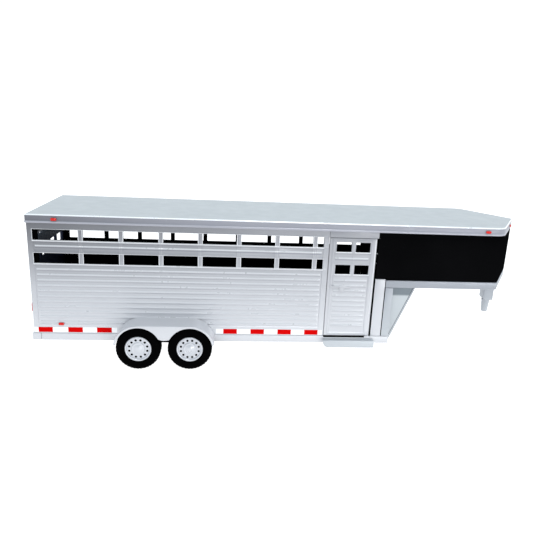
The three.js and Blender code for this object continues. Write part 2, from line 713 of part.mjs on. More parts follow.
[["right", RIGHT], ["left", LEFT]].forEach(([word, side]) => {
  const columnZ = [RAIL_TOP + GAP, NOSE.railBottom - GAP];
  const columnY = across(side, RAIL_INNER, HALF_WIDTH);
  addBlock(`${word}_front_column`, [BOX_FRONT + GAP, TOE_FRONT], columnY, columnZ);
  add(`${word}_lower_rail`, lowerRail(side), SILVER());
  add(`${word}_rear_post`, rearPost(side), SILVER());
  add(`${word}_gusset`, gusset(side), SILVER());
  add(`${word}_nose_shell`, noseShell(side), BLACK());
  add(`${word}_nose_rail`, noseRail(side), SILVER());
  add(`${word}_fender`, fender(side), SILVER());
  add(`${word}_suspension`, suspension(side), BLACK());
  add(`${word}_rear_tape`, tape(side, TAPE.rear), TAPE_WHITE());
  add(`${word}_front_tape`, tape(side, TAPE.front), TAPE_WHITE());

  // lamps on the roof's edge, low on the wall, on the rear post and on the nose
  const turn = side === RIGHT ? Math.PI : 0;
  const { z: roofZ, rearX, frontX, noseY } = ROOF_MARKERS;
  const roofY = side * (ROOF.halfWidth + GAP);
  const noseX = NOSE.apexX + GAP * NOSE_OFFSET - NOSE.slope * noseY;
  const noseHeading = side * Math.atan(NOSE.slope) - Math.PI / 2;
  const tailY = side * TAIL_LAMP_PLACE.y;
  addLamp(`${word}_rear_marker`, MARKER, [rearX, roofY, roofZ], turn);
  addLamp(`${word}_front_marker`, MARKER, [frontX, roofY, roofZ], turn);
  addLamp(`${word}_side_marker`, MARKER, [SIDE_MARKER.x, side * (HALF_WIDTH + GAP), SIDE_MARKER.z], turn);
  addLamp(`${word}_tail_lamp`, TAIL_LAMP, [0, tailY, TAIL_LAMP_PLACE.z], Math.PI / 2);
  addLamp(`${word}_nose_marker`, MARKER, [noseX, side * noseY, roofZ], noseHeading);

  addWheel(`${word}_rear`, side, WHEELS.rear);
  addWheel(`${word}_front`, side, WHEELS.front);
});

["rear", "front"].forEach((place) => {
  add(`${place}_axle`, axle(), STEEL()).position.set(WHEELS[place], 0, WHEELS.radius);
});

add("side_door", sideDoor(), SILVER());
add("side_door_latch", doorLatch(), SILVER());
add("gate", gate(), SILVER());
add("gate_slider", gateSlider(), SILVER());
addBlock("gate_latch", GATE_LATCH.x, GATE_LATCH.y, GATE_LATCH.z);
add("gate_hinge_pin", upright(GATE_HINGE.pinRadius, GATE_HINGE.x, GATE_HINGE.y, HINGE_PIN_Z), STEEL());

const noseTipX = NOSE.apexX - ROOF_CORNER.apex * (NOSE_OFFSET - 1);
const tailX = GATE_HINGE.x - GATE_HINGE.radius;
trailer.position.x = -(noseTipX + tailX) / 2;

export default trailer;
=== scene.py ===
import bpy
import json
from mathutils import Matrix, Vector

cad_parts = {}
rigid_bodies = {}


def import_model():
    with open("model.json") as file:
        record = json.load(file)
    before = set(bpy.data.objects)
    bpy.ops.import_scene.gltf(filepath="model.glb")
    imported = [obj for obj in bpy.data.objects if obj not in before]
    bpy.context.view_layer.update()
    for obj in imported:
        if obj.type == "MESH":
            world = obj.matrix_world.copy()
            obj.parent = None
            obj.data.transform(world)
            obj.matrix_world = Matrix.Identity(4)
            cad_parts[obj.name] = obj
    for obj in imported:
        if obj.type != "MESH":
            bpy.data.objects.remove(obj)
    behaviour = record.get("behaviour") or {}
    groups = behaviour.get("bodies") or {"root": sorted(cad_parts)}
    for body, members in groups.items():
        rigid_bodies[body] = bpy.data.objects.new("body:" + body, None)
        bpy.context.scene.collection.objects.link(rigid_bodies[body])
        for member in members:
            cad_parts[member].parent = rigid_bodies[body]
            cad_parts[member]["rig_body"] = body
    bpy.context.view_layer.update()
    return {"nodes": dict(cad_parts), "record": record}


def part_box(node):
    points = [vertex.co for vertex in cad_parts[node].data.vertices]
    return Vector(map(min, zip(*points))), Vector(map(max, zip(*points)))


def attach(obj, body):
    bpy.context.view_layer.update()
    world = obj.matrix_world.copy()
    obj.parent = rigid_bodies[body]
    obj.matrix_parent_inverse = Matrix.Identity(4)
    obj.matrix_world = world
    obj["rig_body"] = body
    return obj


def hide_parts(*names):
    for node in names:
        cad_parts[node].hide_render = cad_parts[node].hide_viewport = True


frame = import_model()

import json
import math

import bmesh
import bpy
import numpy as np
from mathutils import Matrix, Vector

# Lengths below are in millimetres, apart from the stage's. X runs forward from the rear face of the stock
# box, as the part's own drawing does; finish_mesh() turns that into the frame's metres.
MM = 0.001
RIGHT = -1
LEFT = 1
REAR_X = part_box("right_wall")[0].x / MM - 0.3


def span_of(node):
    """A node's box as ((x0, x1), (y0, y1), (z0, z1)) in millimetres, X from the rear face of the box."""
    low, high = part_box(node)
    x, y, z = zip(low / MM, high / MM)
    return (x[0] - REAR_X, x[1] - REAR_X), y, z


# ---------------------------------------------------------------- materials
def node_tree(name):
    material = bpy.data.materials.new(name)
    material.use_nodes = True
    tree = material.node_tree
    return material, tree, tree.nodes["Principled BSDF"]


def noise(tree, scale, detail=2.0, stretch=(1, 1, 1), offset=0.0):
    """Noise over the piece's own coordinates; scale is in features per metre."""
    where = tree.nodes.new("ShaderNodeTexCoord")
    mapping = tree.nodes.new("ShaderNodeMapping")
    mapping.inputs["Scale"].default_value = stretch
    mapping.inputs["Location"].default_value = (offset, offset * 0.7, offset * 1.3)
    texture = tree.nodes.new("ShaderNodeTexNoise")
    texture.inputs["Scale"].default_value = scale
    texture.inputs["Detail"].default_value = detail
    tree.links.new(where.outputs["Object"], mapping.inputs["Vector"])
    tree.links.new(mapping.outputs["Vector"], texture.inputs["Vector"])
    return texture.outputs["Fac"]


def remap(tree, value, low, high, to_low, to_high):
    node = tree.nodes.new("ShaderNodeMapRange")
    node.inputs["From Min"].default_value = low
    node.inputs["From Max"].default_value = high
    node.inputs["To Min"].default_value = to_low
    node.inputs["To Max"].default_value = to_high
    tree.links.new(value, node.inputs["Value"])
    return node.outputs["Result"]


def blend_colours(tree, share, first, second):
    node = tree.nodes.new("ShaderNodeMix")
    node.data_type = "RGBA"
    tree.links.new(share, node.inputs["Factor"])
    for socket, colour in ((node.inputs["A"], first), (node.inputs["B"], second)):
        if isinstance(colour, bpy.types.NodeSocket):
            tree.links.new(colour, socket)
        else:
            socket.default_value = (*colour, 1)
    return node.outputs["Result"]


def axes(tree, kind="Object"):
    """The X, Y and Z sockets of a point's coordinates, by name."""
    where = tree.nodes.new("ShaderNodeTexCoord")
    split = tree.nodes.new("ShaderNodeSeparateXYZ")
    tree.links.new(where.outputs[kind], split.inputs["Vector"])
    return split.outputs


def height_gradient(tree, low_z, high_z):
    """0 at the lower height and 1 at the upper one, both in millimetres above the ground."""
    return remap(tree, axes(tree)["Z"], low_z * MM, high_z * MM, 0, 1)


def corner_shade(tree, colour, depth, reach, low_z=70, high_z=128):
    """Painted shade: deepens a colour towards the upper rear corner of the box; reach is in millimetres from
    the rear.
    """
    place = axes(tree)
    along = remap(tree, place["X"], REAR_X * MM, (REAR_X + reach) * MM, depth, 0)
    up = remap(tree, place["Z"], low_z * MM, high_z * MM, 0, 1)
    share = tree.nodes.new("ShaderNodeMath")
    share.operation = "MULTIPLY"
    tree.links.new(along, share.inputs[0])
    tree.links.new(up, share.inputs[1])
    return blend_colours(tree, share.outputs["Value"], colour, (0.01, 0.01, 0.015))


def bumped(tree, shader, heights):
    """Bump from (height socket, depth in metres) pairs, one over another."""
    normal = None
    for value, depth in heights:
        bump = tree.nodes.new("ShaderNodeBump")
        bump.inputs["Strength"].default_value = 1.0
        bump.inputs["Distance"].default_value = depth
        tree.links.new(value, bump.inputs["Height"])
        if normal is not None:
            tree.links.new(normal, bump.inputs["Normal"])
        normal = bump.outputs["Normal"]
    tree.links.new(normal, shader.inputs["Normal"])


def paint(
    name, base, shade, metallic, roughness, specular=0.5, flake=0.06, peel=4e-6,
    gradient=None, scuff=0.12, corner=None,
):
    """Sprayed metallic paint: cloudy colour, fine flake, orange peel and scuffs. gradient paints light and
    shade by height:
    (colour at the foot, its height, the height of the full colour); corner is corner_shade's painted shade
    (depth, reach)."""
    material, tree, shader = node_tree(name)
    cloud = remap(tree, noise(tree, 22, 3.0), 0.35, 0.65, 0, 1)
    colour = blend_colours(tree, cloud, base, shade)
    if gradient:
        foot, low_z, high_z = gradient
        colour = blend_colours(tree, height_gradient(tree, low_z, high_z), foot, colour)
    if corner:
        colour = corner_shade(tree, colour, *corner)
    flakes = remap(tree, noise(tree, 5200, 1.0, offset=3.1), 0.55, 0.75, 0, flake)
    colour = blend_colours(tree, flakes, colour, (1, 1, 1))
    scuffs = remap(tree, noise(tree, 160, 5.0, (0.35, 1, 1), 7.7), 0.62, 0.72, 0, scuff)
    colour = blend_colours(tree, scuffs, colour, tuple(0.75 * c for c in shade))
    tree.links.new(colour, shader.inputs["Base Color"])
    rough = remap(tree, noise(tree, 90, 4.0, offset=1.3), 0.3, 0.7, roughness - 0.05, roughness + 0.07)
    tree.links.new(rough, shader.inputs["Roughness"])
    shader.inputs["Metallic"].default_value = metallic
    shader.inputs["Specular IOR Level"].default_value = specular
    bumped(tree, shader, [(noise(tree, 1300, 2.0, offset=5.0), peel), (noise(tree, 60, 2.0), peel * 6)])
    return material


def rubber(name):
    material, tree, shader = node_tree(name)
    dust = remap(tree, noise(tree, 120, 5.0), 0.5, 0.8, 0, 0.35)
    colour = blend_colours(tree, dust, (0.0006, 0.0006, 0.0008), (0.0018, 0.0018, 0.0024))
    tree.links.new(colour, shader.inputs["Base Color"])
    tree.links.new(remap(tree, noise(tree, 400, 3.0), 0.3, 0.7, 0.5, 0.68), shader.inputs["Roughness"])
    shader.inputs["Specular IOR Level"].default_value = 0.01
    bumped(tree, shader, [(noise(tree, 2200, 3.0), 1.2e-5)])
    return material


def steel(name):
    material, tree, shader = node_tree(name)
    drawn = noise(tree, 900, 3.0, (1, 0.02, 1))
    colour = blend_colours(tree, drawn, (0.42, 0.42, 0.44), (0.62, 0.62, 0.64))
    tree.links.new(colour, shader.inputs["Base Color"])
    tree.links.new(remap(tree, drawn, 0.3, 0.7, 0.22, 0.38), shader.inputs["Roughness"])
    shader.inputs["Metallic"].default_value = 1.0
    bumped(tree, shader, [(drawn, 6e-6)])
    return material


def lacquer(name, base, shade, roughness, specular=0.5, grain=1e-5):
    """A flat glossy or satin finish: lamp red, tape white and tape red."""
    material, tree, shader = node_tree(name)
    cloud = remap(tree, noise(tree, 200, 3.0), 0.35, 0.65, 0, 1)
    tree.links.new(blend_colours(tree, cloud, base, shade), shader.inputs["Base Color"])
    rough = remap(tree, noise(tree, 700, 3.0), 0.3, 0.7, roughness - 0.04, roughness + 0.06)
    tree.links.new(rough, shader.inputs["Roughness"])
    shader.inputs["Specular IOR Level"].default_value = specular
    bumped(tree, shader, [(noise(tree, 1800, 2.0), grain)])
    return material


# Painted light and shade: the silver is lightened towards the foot of the walls, as light off the floor, and
# darkened at the upper rear corner, as shade.
WALL_FOOT_PAINTED_LIGHT = ((0.57, 0.58, 0.61), 28, 118)      # the silver is lightest at the foot of the walls
WALL_CORNER_PAINTED_SHADE = (0.55, 220)                      # and darkest at the upper rear corner
SILVER = paint(
    "silver_paint", (0.315, 0.32, 0.345), (0.295, 0.30, 0.325), 0.3, 0.36,
    gradient=WALL_FOOT_PAINTED_LIGHT, scuff=0.05, corner=WALL_CORNER_PAINTED_SHADE,
)
# Painted highlight and painted shade: a lighter copy of the silver on the crests of ribs and sills, and a
# darker copy under them and in grooves.
HIGHLIGHT_SILVER = paint("silver_painted_highlight", (0.60, 0.61, 0.63), (0.57, 0.58, 0.60), 0.3, 0.3, gradient=WALL_FOOT_PAINTED_LIGHT, scuff=0)
SHADE_SILVER = paint(
    "silver_painted_shade", (0.22, 0.225, 0.26), (0.20, 0.205, 0.24), 0.2, 0.45,
    gradient=WALL_FOOT_PAINTED_LIGHT, scuff=0, corner=WALL_CORNER_PAINTED_SHADE,
)
# Painted light: the nose silver is lightened towards its foot.
NOSE_SILVER = paint(
    "nose_silver", (0.27, 0.285, 0.32), (0.25, 0.265, 0.30), 0.3, 0.36, gradient=((0.46, 0.49, 0.52), 22, 85)
)
ROOF_PAINT = paint("roof_paint", (0.43, 0.45, 0.46), (0.42, 0.44, 0.452), 0.35, 0.42, flake=0.04, scuff=0.05)
# Painted highlight: a near-white copy of the roof silver along the rounded upper edge of the roof.
ROOF_EDGE_HIGHLIGHT = paint("roof_edge_painted_highlight", (0.90, 0.92, 0.94), (0.86, 0.88, 0.91), 0.5, 0.3, flake=0.04, scuff=0)
# Painted shade: a darker copy of the roof silver on the fascia, darkened further towards the rear.
FASCIA_SHADE = paint(
    "fascia_painted_shade", (0.275, 0.28, 0.318), (0.258, 0.263, 0.302), 0.3, 0.4, scuff=0.04, corner=(0.5, 160)
)
# Painted shadow: the gusset is dark above about 67 mm, where the nose rail's shadow falls, and light below.
GUSSET_SHADOW = paint(
    "gusset_painted_shadow", (0.15, 0.18, 0.205), (0.13, 0.155, 0.18), 0.2, 0.42,
    gradient=((0.42, 0.45, 0.475), 65.4, 67.2), scuff=0.03,
)
# Painted highlight: a lighter copy of the roof silver on the bead at the fascia's foot.
FASCIA_FOOT_HIGHLIGHT = paint("fascia_foot_painted_highlight", (0.36, 0.365, 0.41), (0.34, 0.345, 0.39), 0.35, 0.34, scuff=0)
# Painted shade: the gate's silver inside is darker and bluer, and near black up to 100 mm, rising to full
# colour by 118 mm.
GATE_INSIDE_SHADE = paint(
    "gate_inside_painted_shade", (0.20, 0.25, 0.29), (0.14, 0.18, 0.23), 0.0, 0.6, 0.1,
    gradient=((0.01, 0.015, 0.04), 100, 118),
)
WHEEL_PAINT = paint("wheel_paint", (0.55, 0.565, 0.60), (0.50, 0.515, 0.555), 0.45, 0.3, flake=0.08)
BLACK = paint("black_plastic", (0.0022, 0.0022, 0.0025), (0.003, 0.003, 0.0034), 0.0, 0.5, 0.0, 0.002, 6e-6)
INNER_BLACK = paint(
    "inner_black", (0.0009, 0.0009, 0.001), (0.0014, 0.0014, 0.0014), 0.0, 0.75, 0.01, 0.0, 1e-5
)
RUBBER = rubber("tyre_rubber")
STEEL = steel("drawn_steel")
RED_LENS = lacquer("red_lens", (0.62, 0.012, 0.006), (0.52, 0.008, 0.004), 0.14, 0.35)
TAPE_WHITE = lacquer("tape_white", (0.90, 0.90, 0.91), (0.86, 0.865, 0.875), 0.35)
TAPE_RED = lacquer("tape_red", (0.60, 0.001, 0.001), (0.54, 0.0008, 0.001), 0.45, 0.02)


# ---------------------------------------------------------------- mesh helpers
def finish_mesh(name, mesh, materials, body, nodes, sharp=32):
    """Turns a mesh in the part's millimetres into a piece that rides on a body and stands for its nodes."""
    mesh.transform(Matrix.Diagonal((MM, MM, MM, 1)) @ Matrix.Translation((REAR_X, 0, 0)))
    for material in materials:
        mesh.materials.append(material)
    mesh.shade_smooth()
    mesh.set_sharp_from_angle(angle=math.radians(sharp))
    piece = bpy.data.objects.new(name, mesh)
    bpy.context.scene.collection.objects.link(piece)
    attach(piece, body)
    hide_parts(*nodes)
    return piece


def closed(vertices, faces, finishes=None):
    """A bmesh from points and faces, doubles merged and faces turned outward."""
    bm = bmesh.new()
    points = [bm.verts.new(v) for v in vertices]
    for i, face in enumerate(faces):
        corners = [points[k] for k in face]
        if len(set(corners)) < 3:
            continue
        made = bm.faces.get(corners) or bm.faces.new(corners)
        made.material_index = 0 if finishes is None else int(finishes[i])
    bmesh.ops.remove_doubles(bm, verts=bm.verts, dist=1e-4)
    loose = [v for v in bm.verts if not v.link_faces]
    bmesh.ops.delete(bm, geom=loose, context="VERTS")
    bmesh.ops.recalc_face_normals(bm, faces=bm.faces)
    return bm


def mesh_from(bm, name):
    mesh = bpy.data.meshes.new(name)
    bm.to_mesh(mesh)
    bm.free()
    return mesh


def merged(parts):
    """One bmesh from several."""
    whole = bmesh.new()
    for part in parts:
        mesh = mesh_from(part, "part")
        whole.from_mesh(mesh)
        bpy.data.meshes.remove(mesh)
    return whole


def loft(rings, caps=True, finishes=None, ring_closed=True):
    """Faces between rings of equally many points, with a flat cap at each end."""
    count = len(rings[0])
    vertices = [p for ring in rings for p in ring]
    faces = []
    marks = []
    steps = count if ring_closed else count - 1
    for r in range(len(rings) - 1):
        for k in range(steps):
            n = (k + 1) % count
            faces.append((r * count + k, r * count + n, (r + 1) * count + n, (r + 1) * count + k))
            marks.append(0 if finishes is None else finishes[r])
    if caps:
        faces.append(tuple(range(count)))
        marks.append(0 if finishes is None else finishes[0])
        last = (len(rings) - 1) * count
        faces.append(tuple(range(last, last + count)))
        marks.append(0 if finishes is None else finishes[-1])
    return closed(vertices, faces, marks)


def lathe(profile, centre, steps, side, radius_at=None):
    """Turns a closed (radius, outward) profile about a wheel's axis; centre is (x, inner face |y|, z)."""
    x, y, z = centre
    rings = []
    for k in range(steps):
        turn = 2 * math.pi * k / steps
        ring = []
        for i, (radius, out) in enumerate(profile):
            r = radius if radius_at is None else radius_at(i, radius, out, turn)
            ring.append((x + r * math.cos(turn), side * (y + out), z + r * math.sin(turn)))
        rings.append(ring)
    rings.append(rings[0])
    return loft(rings, caps=False)


def smooth(t):
    t = np.clip(t, 0, 1)
    return t * t * (3 - 2 * t)


def plateau(t, low, high, soft):
    """1 between low and high, easing to 0 over a distance soft outside them."""
    return smooth((t - low) / soft + 1) * smooth((high - t) / soft + 1)


def grid_lines(low, high, marks):
    """Sorted grid lines from low to high through every mark, none closer than 0.04."""
    lines = [low]
    for mark in sorted(m for m in marks if low < m < high):
        if mark - lines[-1] > 0.04:
            lines.append(mark)
    if high - lines[-1] < 0.04:
        lines.pop()
    return np.array([*lines, high])


def around(edge, soft):
    return [edge + soft * k for k in (-1, -0.66, -0.33, 0, 0.33, 0.66, 1)]


def relief(us, vs, face, back, holes, where, tint=None):
    """A closed panel on a grid: face(u, v) is its outer height, back its inner one, and holes go through it.
    tint(u, v) gives the finish of each outer cell; the back and the sides of the holes are finish 1."""
    u, v = np.meshgrid(us, vs, indexing="ij")
    front = where(u, v, face(u, v)).reshape(-1, 3)
    rear = where(u, v, np.full_like(u, back)).reshape(-1, 3)
    mid_u = ((us[:-1] + us[1:]) / 2)[:, None]
    mid_v = ((vs[:-1] + vs[1:]) / 2)[None, :]
    kept = np.ones((len(us) - 1, len(vs) - 1), bool)
    for (u0, u1), (v0, v1) in holes:
        kept &= ~((mid_u > u0) & (mid_u < u1) & (mid_v > v0) & (mid_v < v1))
    across = len(vs)
    total = len(us) * len(vs)
    colours = np.zeros(kept.shape, int) if tint is None else tint(*np.broadcast_arrays(mid_u, mid_v))
    faces = []
    marks = []

    def solid(i, j):
        return 0 <= i < kept.shape[0] and 0 <= j < kept.shape[1] and kept[i, j]

    for i, j in zip(*np.nonzero(kept)):
        a, b, c, d = i * across + j, (i + 1) * across + j, (i + 1) * across + j + 1, i * across + j + 1
        faces.append((a, b, c, d))
        marks.append(colours[i, j])
        faces.append((d + total, c + total, b + total, a + total))
        marks.append(1)
        for ni, nj, p, q in ((i - 1, j, d, a), (i + 1, j, b, c), (i, j - 1, a, b), (i, j + 1, c, d)):
            if not solid(ni, nj):
                in_hole = 0 <= ni < kept.shape[0] and 0 <= nj < kept.shape[1]
                faces.append((q, p, p + total, q + total))
                marks.append(1 if in_hole else 0)
    return closed(np.vstack([front, rear]).tolist(), faces, marks)


def softened(node, width, material, segments=3, dark=None):
    """A node's own shape with its sharp edges rounded off, as a moulding's are. Faces that look towards
    one of the dark directions are the unpainted black inside."""
    bm = bmesh.new()
    bm.from_mesh(frame["nodes"][node].data)
    bm.transform(Matrix.Translation((-REAR_X, 0, 0)) @ Matrix.Diagonal((1 / MM, 1 / MM, 1 / MM, 1)))
    bmesh.ops.remove_doubles(bm, verts=bm.verts, dist=1e-4)
    bmesh.ops.dissolve_limit(bm, angle_limit=math.radians(0.5), verts=bm.verts, edges=bm.edges)
    edges = [e for e in bm.edges if len(e.link_faces) == 2 and e.calc_face_angle() > math.radians(25)]
    bmesh.ops.bevel(
        bm, geom=edges, offset=width, segments=segments, profile=0.5, affect="EDGES", clamp_overlap=True
    )
    bm.normal_update()
    for face in bm.faces:
        inward = any(face.normal.dot(Vector(way)) > 0.7 for way in dark or ())
        face.material_index = 1 if inward else 0
    mesh = mesh_from(bm, node)
    body = frame["nodes"][node]["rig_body"]
    return finish_mesh(f"{node}_moulding", mesh, [material, INNER_BLACK], body, [node], 40)


# ---------------------------------------------------------------- roof
ROOF = span_of("roof")
ROOF_HALF = -ROOF[1][0]
NOSE_SLOPE = 0.628
NOSE_STRETCH = math.hypot(1, NOSE_SLOPE)
ROOF_CORNERS = (0.9, 13.4, 4.0, 13.4, 0.9)     # plan radii: rear, shoulder, nose, shoulder, rear


def roof_apex():
    return ROOF[0][1] + ROOF_CORNERS[2] * (NOSE_STRETCH - 1)


def outward_normal(edge, inward):
    """The normal of an edge of the plan that looks away from the inside."""
    normal = Vector((-edge.y, edge.x))
    return normal if normal.dot(-inward) > 0 else Vector((edge.y, -edge.x))


def roof_plan(inset, steps=14):
    """The roof's outline, moved inward; rounded corners close to points as the inset passes their radius."""
    apex = roof_apex()
    half = ROOF_HALF
    corners = [
        (ROOF[0][0], -half),
        (apex - NOSE_SLOPE * half, -half),
        (apex, 0),
        (apex - NOSE_SLOPE * half, half),
        (ROOF[0][0], half),
    ]
    ring = []
    for k, corner in enumerate(corners):
        here = Vector(corner)
        back = (Vector(corners[k - 1]) - here).normalized()
        ahead = (Vector(corners[(k + 1) % 5]) - here).normalized()
        half_angle = math.acos(max(-1, min(1, back.dot(ahead)))) / 2
        inward = (back + ahead).normalized()
        radius = ROOF_CORNERS[k]
        if inset >= radius:
            ring += [here + inward * inset / math.sin(half_angle)] * (steps + 1)
            continue
        centre = here + inward * radius / math.sin(half_angle)
        start, end = (outward_normal(edge, inward) for edge in (back, ahead))
        turn = start.angle_signed(end)
        for s in range(steps + 1):
            arm = start.copy()
            arm.rotate(Matrix.Rotation(-turn * s / steps, 2))
            ring.append(centre + arm * (radius - inset))
    return ring


def roof():
    """A tray turned upside down: flat top, rounded upper edge, plain fascia and a bead along its foot."""
    bottom, top = ROOF[2]
    profile = [(1.75, 0.0), (1.35, 0.02)]
    turns = np.linspace(0.15, math.pi / 2, 7)
    profile += [(0.35 + 1.0 * (1 - math.sin(a)), 1.0 * (1 - math.cos(a))) for a in turns]
    drop = top - bottom
    profile += [(0.35, 1.6), (0.42, 2.0), (0.42, drop - 2.1), (0.32, drop - 1.85), (0.08, drop - 1.6)]
    profile += [(0.0, drop - 1.3), (0.0, drop - 0.55), (0.1, drop - 0.22), (0.35, drop - 0.04), (0.7, drop)]
    rim = 5.7
    inner = [(rim - 0.3, drop), (rim, drop - 0.3), (rim, drop - 4.0), (rim, 1.8)]
    steps = profile + inner
    rings = [[(p.x, p.y, top - down) for p in roof_plan(inset)] for inset, down in steps]
    # Finish 1 is a painted highlight along the rounded upper edge, 3 a painted highlight on the bead at the
    # fascia's foot, 2 the fascia in painted shade, 0 the top and 4 the black inside.
    finishes = []
    for (_, down_a), (_, down_b) in zip(profile, profile[1:] + inner[:1]):
        middle = (down_a + down_b) / 2
        on_foot = drop - 1.9 < middle
        finishes.append(1 if 0.03 < middle < 1.3 else 3 if on_foot else 2 if middle > 1 else 0)
    finishes += [4] * len(inner)
    bm = loft(rings, True, finishes)
    paints = [ROOF_PAINT, ROOF_EDGE_HIGHLIGHT, FASCIA_SHADE, FASCIA_FOOT_HIGHLIGHT, INNER_BLACK]
    finish_mesh("roof_shell", mesh_from(bm, "roof_shell"), paints, "trailer", ["roof"], 28)


roof()

# ---------------------------------------------------------------- walls
SLOT_ROWS = ((91.4, 100.5), (112.2, 121.45))
POST_CENTRES = [44.78 + 34.49 * k for k in range(8)]
POST_HALF = 2.1
FIRST_SLOT = 4.6
SLOTS_END = {RIGHT: 259.5, LEFT: 318.6}
RIB_ROWS = [36.4 + 4.9 * k for k in range(11)]
MIDDLE_RIB = 106.35
RIB_HALF = 1.5
SKIN = 51.2
WALL_INNER = 49.9
PANEL_FOOT = 33.95
FRAME_OUT = 0.5        # how far frames and ribs stand out of the skin
SILL = 1.6
SEAM_COVER = 0.4               # the left wall's panel runs this far over the seam with the column ahead


def slot_spans(end):
    posts = [c for c in POST_CENTRES if c < end]
    starts = [FIRST_SLOT] + [c + POST_HALF for c in posts]
    ends = [c - POST_HALF for c in posts] + [end]
    return list(zip(starts, ends))


def rib_profile(u, v, low, high, centre):
    """A rounded bar with half-round ends."""
    beyond = np.maximum(np.maximum(low + RIB_HALF - u, u - high + RIB_HALF), 0)
    away = np.hypot(beyond, v - centre) / RIB_HALF
    return np.cos(np.clip(away, 0, 1) * math.pi / 2) ** 2


def rib_lines(centre):
    return [centre + RIB_HALF * k for k in (-1, -0.8, -0.6, -0.4, -0.2, 0, 0.2, 0.4, 0.6, 0.8, 1)]


def wall_relief(end):
    """The outer height of a side wall over its skin."""
    spans = slot_spans(end)
    panels = ((PANEL_FOOT, SLOT_ROWS[0][0] - SILL), (SLOT_ROWS[0][1] + 0.8, SLOT_ROWS[1][0] - SILL))

    def face(u, v):
        h = np.full_like(u, FRAME_OUT)
        for low, high in panels:
            pocket = plateau(u, FIRST_SLOT + 0.4, end - 0.4, 0.4) * plateau(v, low + 0.4, high - 0.4, 0.4)
            h = h - FRAME_OUT * pocket
        for centre in [*RIB_ROWS, MIDDLE_RIB]:
            h = np.maximum(h, FRAME_OUT * 1.05 * rib_profile(u, v, FIRST_SLOT + 1, end - 1, centre))
        for low, high in SLOT_ROWS:
            across = plateau(u, FIRST_SLOT - 0.5, end + 0.5, 0.4)
            h = h + 0.42 * (across * plateau(v, low - SILL + 0.3, low - 0.25, 0.35))
            h = h + 0.12 * (across * plateau(v, high + 0.2, high + 0.75, 0.25))
        for centre in POST_CENTRES:
            if centre > end:
                continue
            tall = plateau(v, SLOT_ROWS[0][0], SLOT_ROWS[1][1] + 0.4, 0.4)
            post = plateau(u, centre - POST_HALF + 0.3, centre + POST_HALF - 0.3, 0.35) * tall
            h = np.maximum(h, 0.42 * post)
            for groove in (centre - 0.95, centre + 0.95):
                h = h - 0.16 * plateau(u, groove - 0.14, groove + 0.14, 0.26) * tall
        for low, high in SLOT_ROWS:
            for u0, u1 in spans:
                edge = np.maximum(np.maximum(u0 - u, u - u1), np.maximum(low - v, v - high))
                h = h - 0.16 * (1 - smooth(edge / 0.28)) * (edge > -0.5)
        return h

    return face, spans


def rib_tint(u, v, low, high, ribs):
    """Painted highlight on the upper half of each horizontal rib (2) and painted shade along its lower flank
    (3), 0 elsewhere.
    """
    colours = np.zeros(u.shape, int)
    along = (u > low + 0.6) & (u < high - 0.6)
    for centre in ribs:
        colours[along & (v > centre) & (v < centre + 1.1)] = 2
        colours[along & (v > centre - 1.4) & (v < centre - 0.7)] = 3
    return colours


def wall_tint(end):
    # Painted highlights (2) on rib crests, sill tops, slot tops, the rear jamb and post edges; painted shade
    # (3) under ribs and sills and in the post grooves.
    def tint(u, v):
        colours = rib_tint(u, v, FIRST_SLOT + 1, end - 1, [*RIB_ROWS, MIDDLE_RIB])
        across = (u > FIRST_SLOT - 0.6) & (u < end + 0.6)
        for low, high in SLOT_ROWS:
            colours[across & (v > low - SILL + 0.2) & (v < low)] = 2
            colours[across & (v > low - SILL - 0.4) & (v < low - SILL + 0.1)] = 3
            colours[across & (v > high + 0.1) & (v < high + 0.5)] = 2
            colours[(v > low) & (v < high) & (abs(u - FIRST_SLOT + 0.25) < 0.3)] = 2
            for centre in POST_CENTRES:
                edge = abs(abs(u - centre) - POST_HALF + 0.25) < 0.3
                colours[(v > low) & (v < high) & edge & (u < end)] = 2
                colours[(v > low) & (v < high) & (abs(abs(u - centre) - 0.95) < 0.25) & (u < end)] = 3
        return colours

    return tint


def wall_piece(side, node):
    (x0, x1), _, (z0, z1) = span_of(node)
    end = SLOTS_END[side]
    face, spans = wall_relief(end)
    marks_u = [x0 + 0.2, x0 + 0.5, x1 - 0.5, x1 - 0.2, 60, 90, 120, 150, 180, 210, 240, 300]
    for u0, u1 in spans:
        for edge, away in ((u0, -1), (u1, 1)):
            marks_u += [edge, edge + away * 0.1, edge + away * 0.28]
    for centre in POST_CENTRES:
        if centre < end:
            marks_u += around(centre - POST_HALF, 0.05)[::3] + around(centre + POST_HALF, 0.05)[::3]
            for groove in (centre - 0.95, centre + 0.95):
                marks_u += [groove - 0.4, groove - 0.22, groove, groove + 0.22, groove + 0.4]
    for edge, away in ((FIRST_SLOT, 1), (end, -1)):
        marks_u += [edge, edge + away * 0.2, edge + away * 0.4, edge - away * 0.5, edge - away * 0.9]
        marks_u += [edge + away * (1 + RIB_HALF * k) for k in (0, 0.15, 0.35, 0.6, 1)]
    marks_v = [z0 + 0.25, z1 - 0.25, PANEL_FOOT, PANEL_FOOT + 0.2, PANEL_FOOT + 0.4]
    for centre in [*RIB_ROWS, MIDDLE_RIB]:
        marks_v += rib_lines(centre)
    for low, high in SLOT_ROWS:
        marks_v += [low - SILL - 0.05, low - SILL + 0.1, low - SILL + 0.3, low - 0.25, low - 0.1, low, high]
        marks_v += [high + away for away in (0.1, 0.28, 0.5, 0.75, 1.0, 1.3)] + [low - SILL - 0.4]
    holes = [((u0, u1), row) for u0, u1 in spans for row in SLOT_ROWS]
    if side == LEFT:
        x1 += SEAM_COVER
    return relief(
        grid_lines(x0, x1, marks_u),
        grid_lines(z0, z1, marks_v),
        face,
        WALL_INNER,
        holes,
        lambda u, v, w: np.stack([u, side * np.where(w > 40, w, w + SKIN), v], -1),
        wall_tint(end),
    )


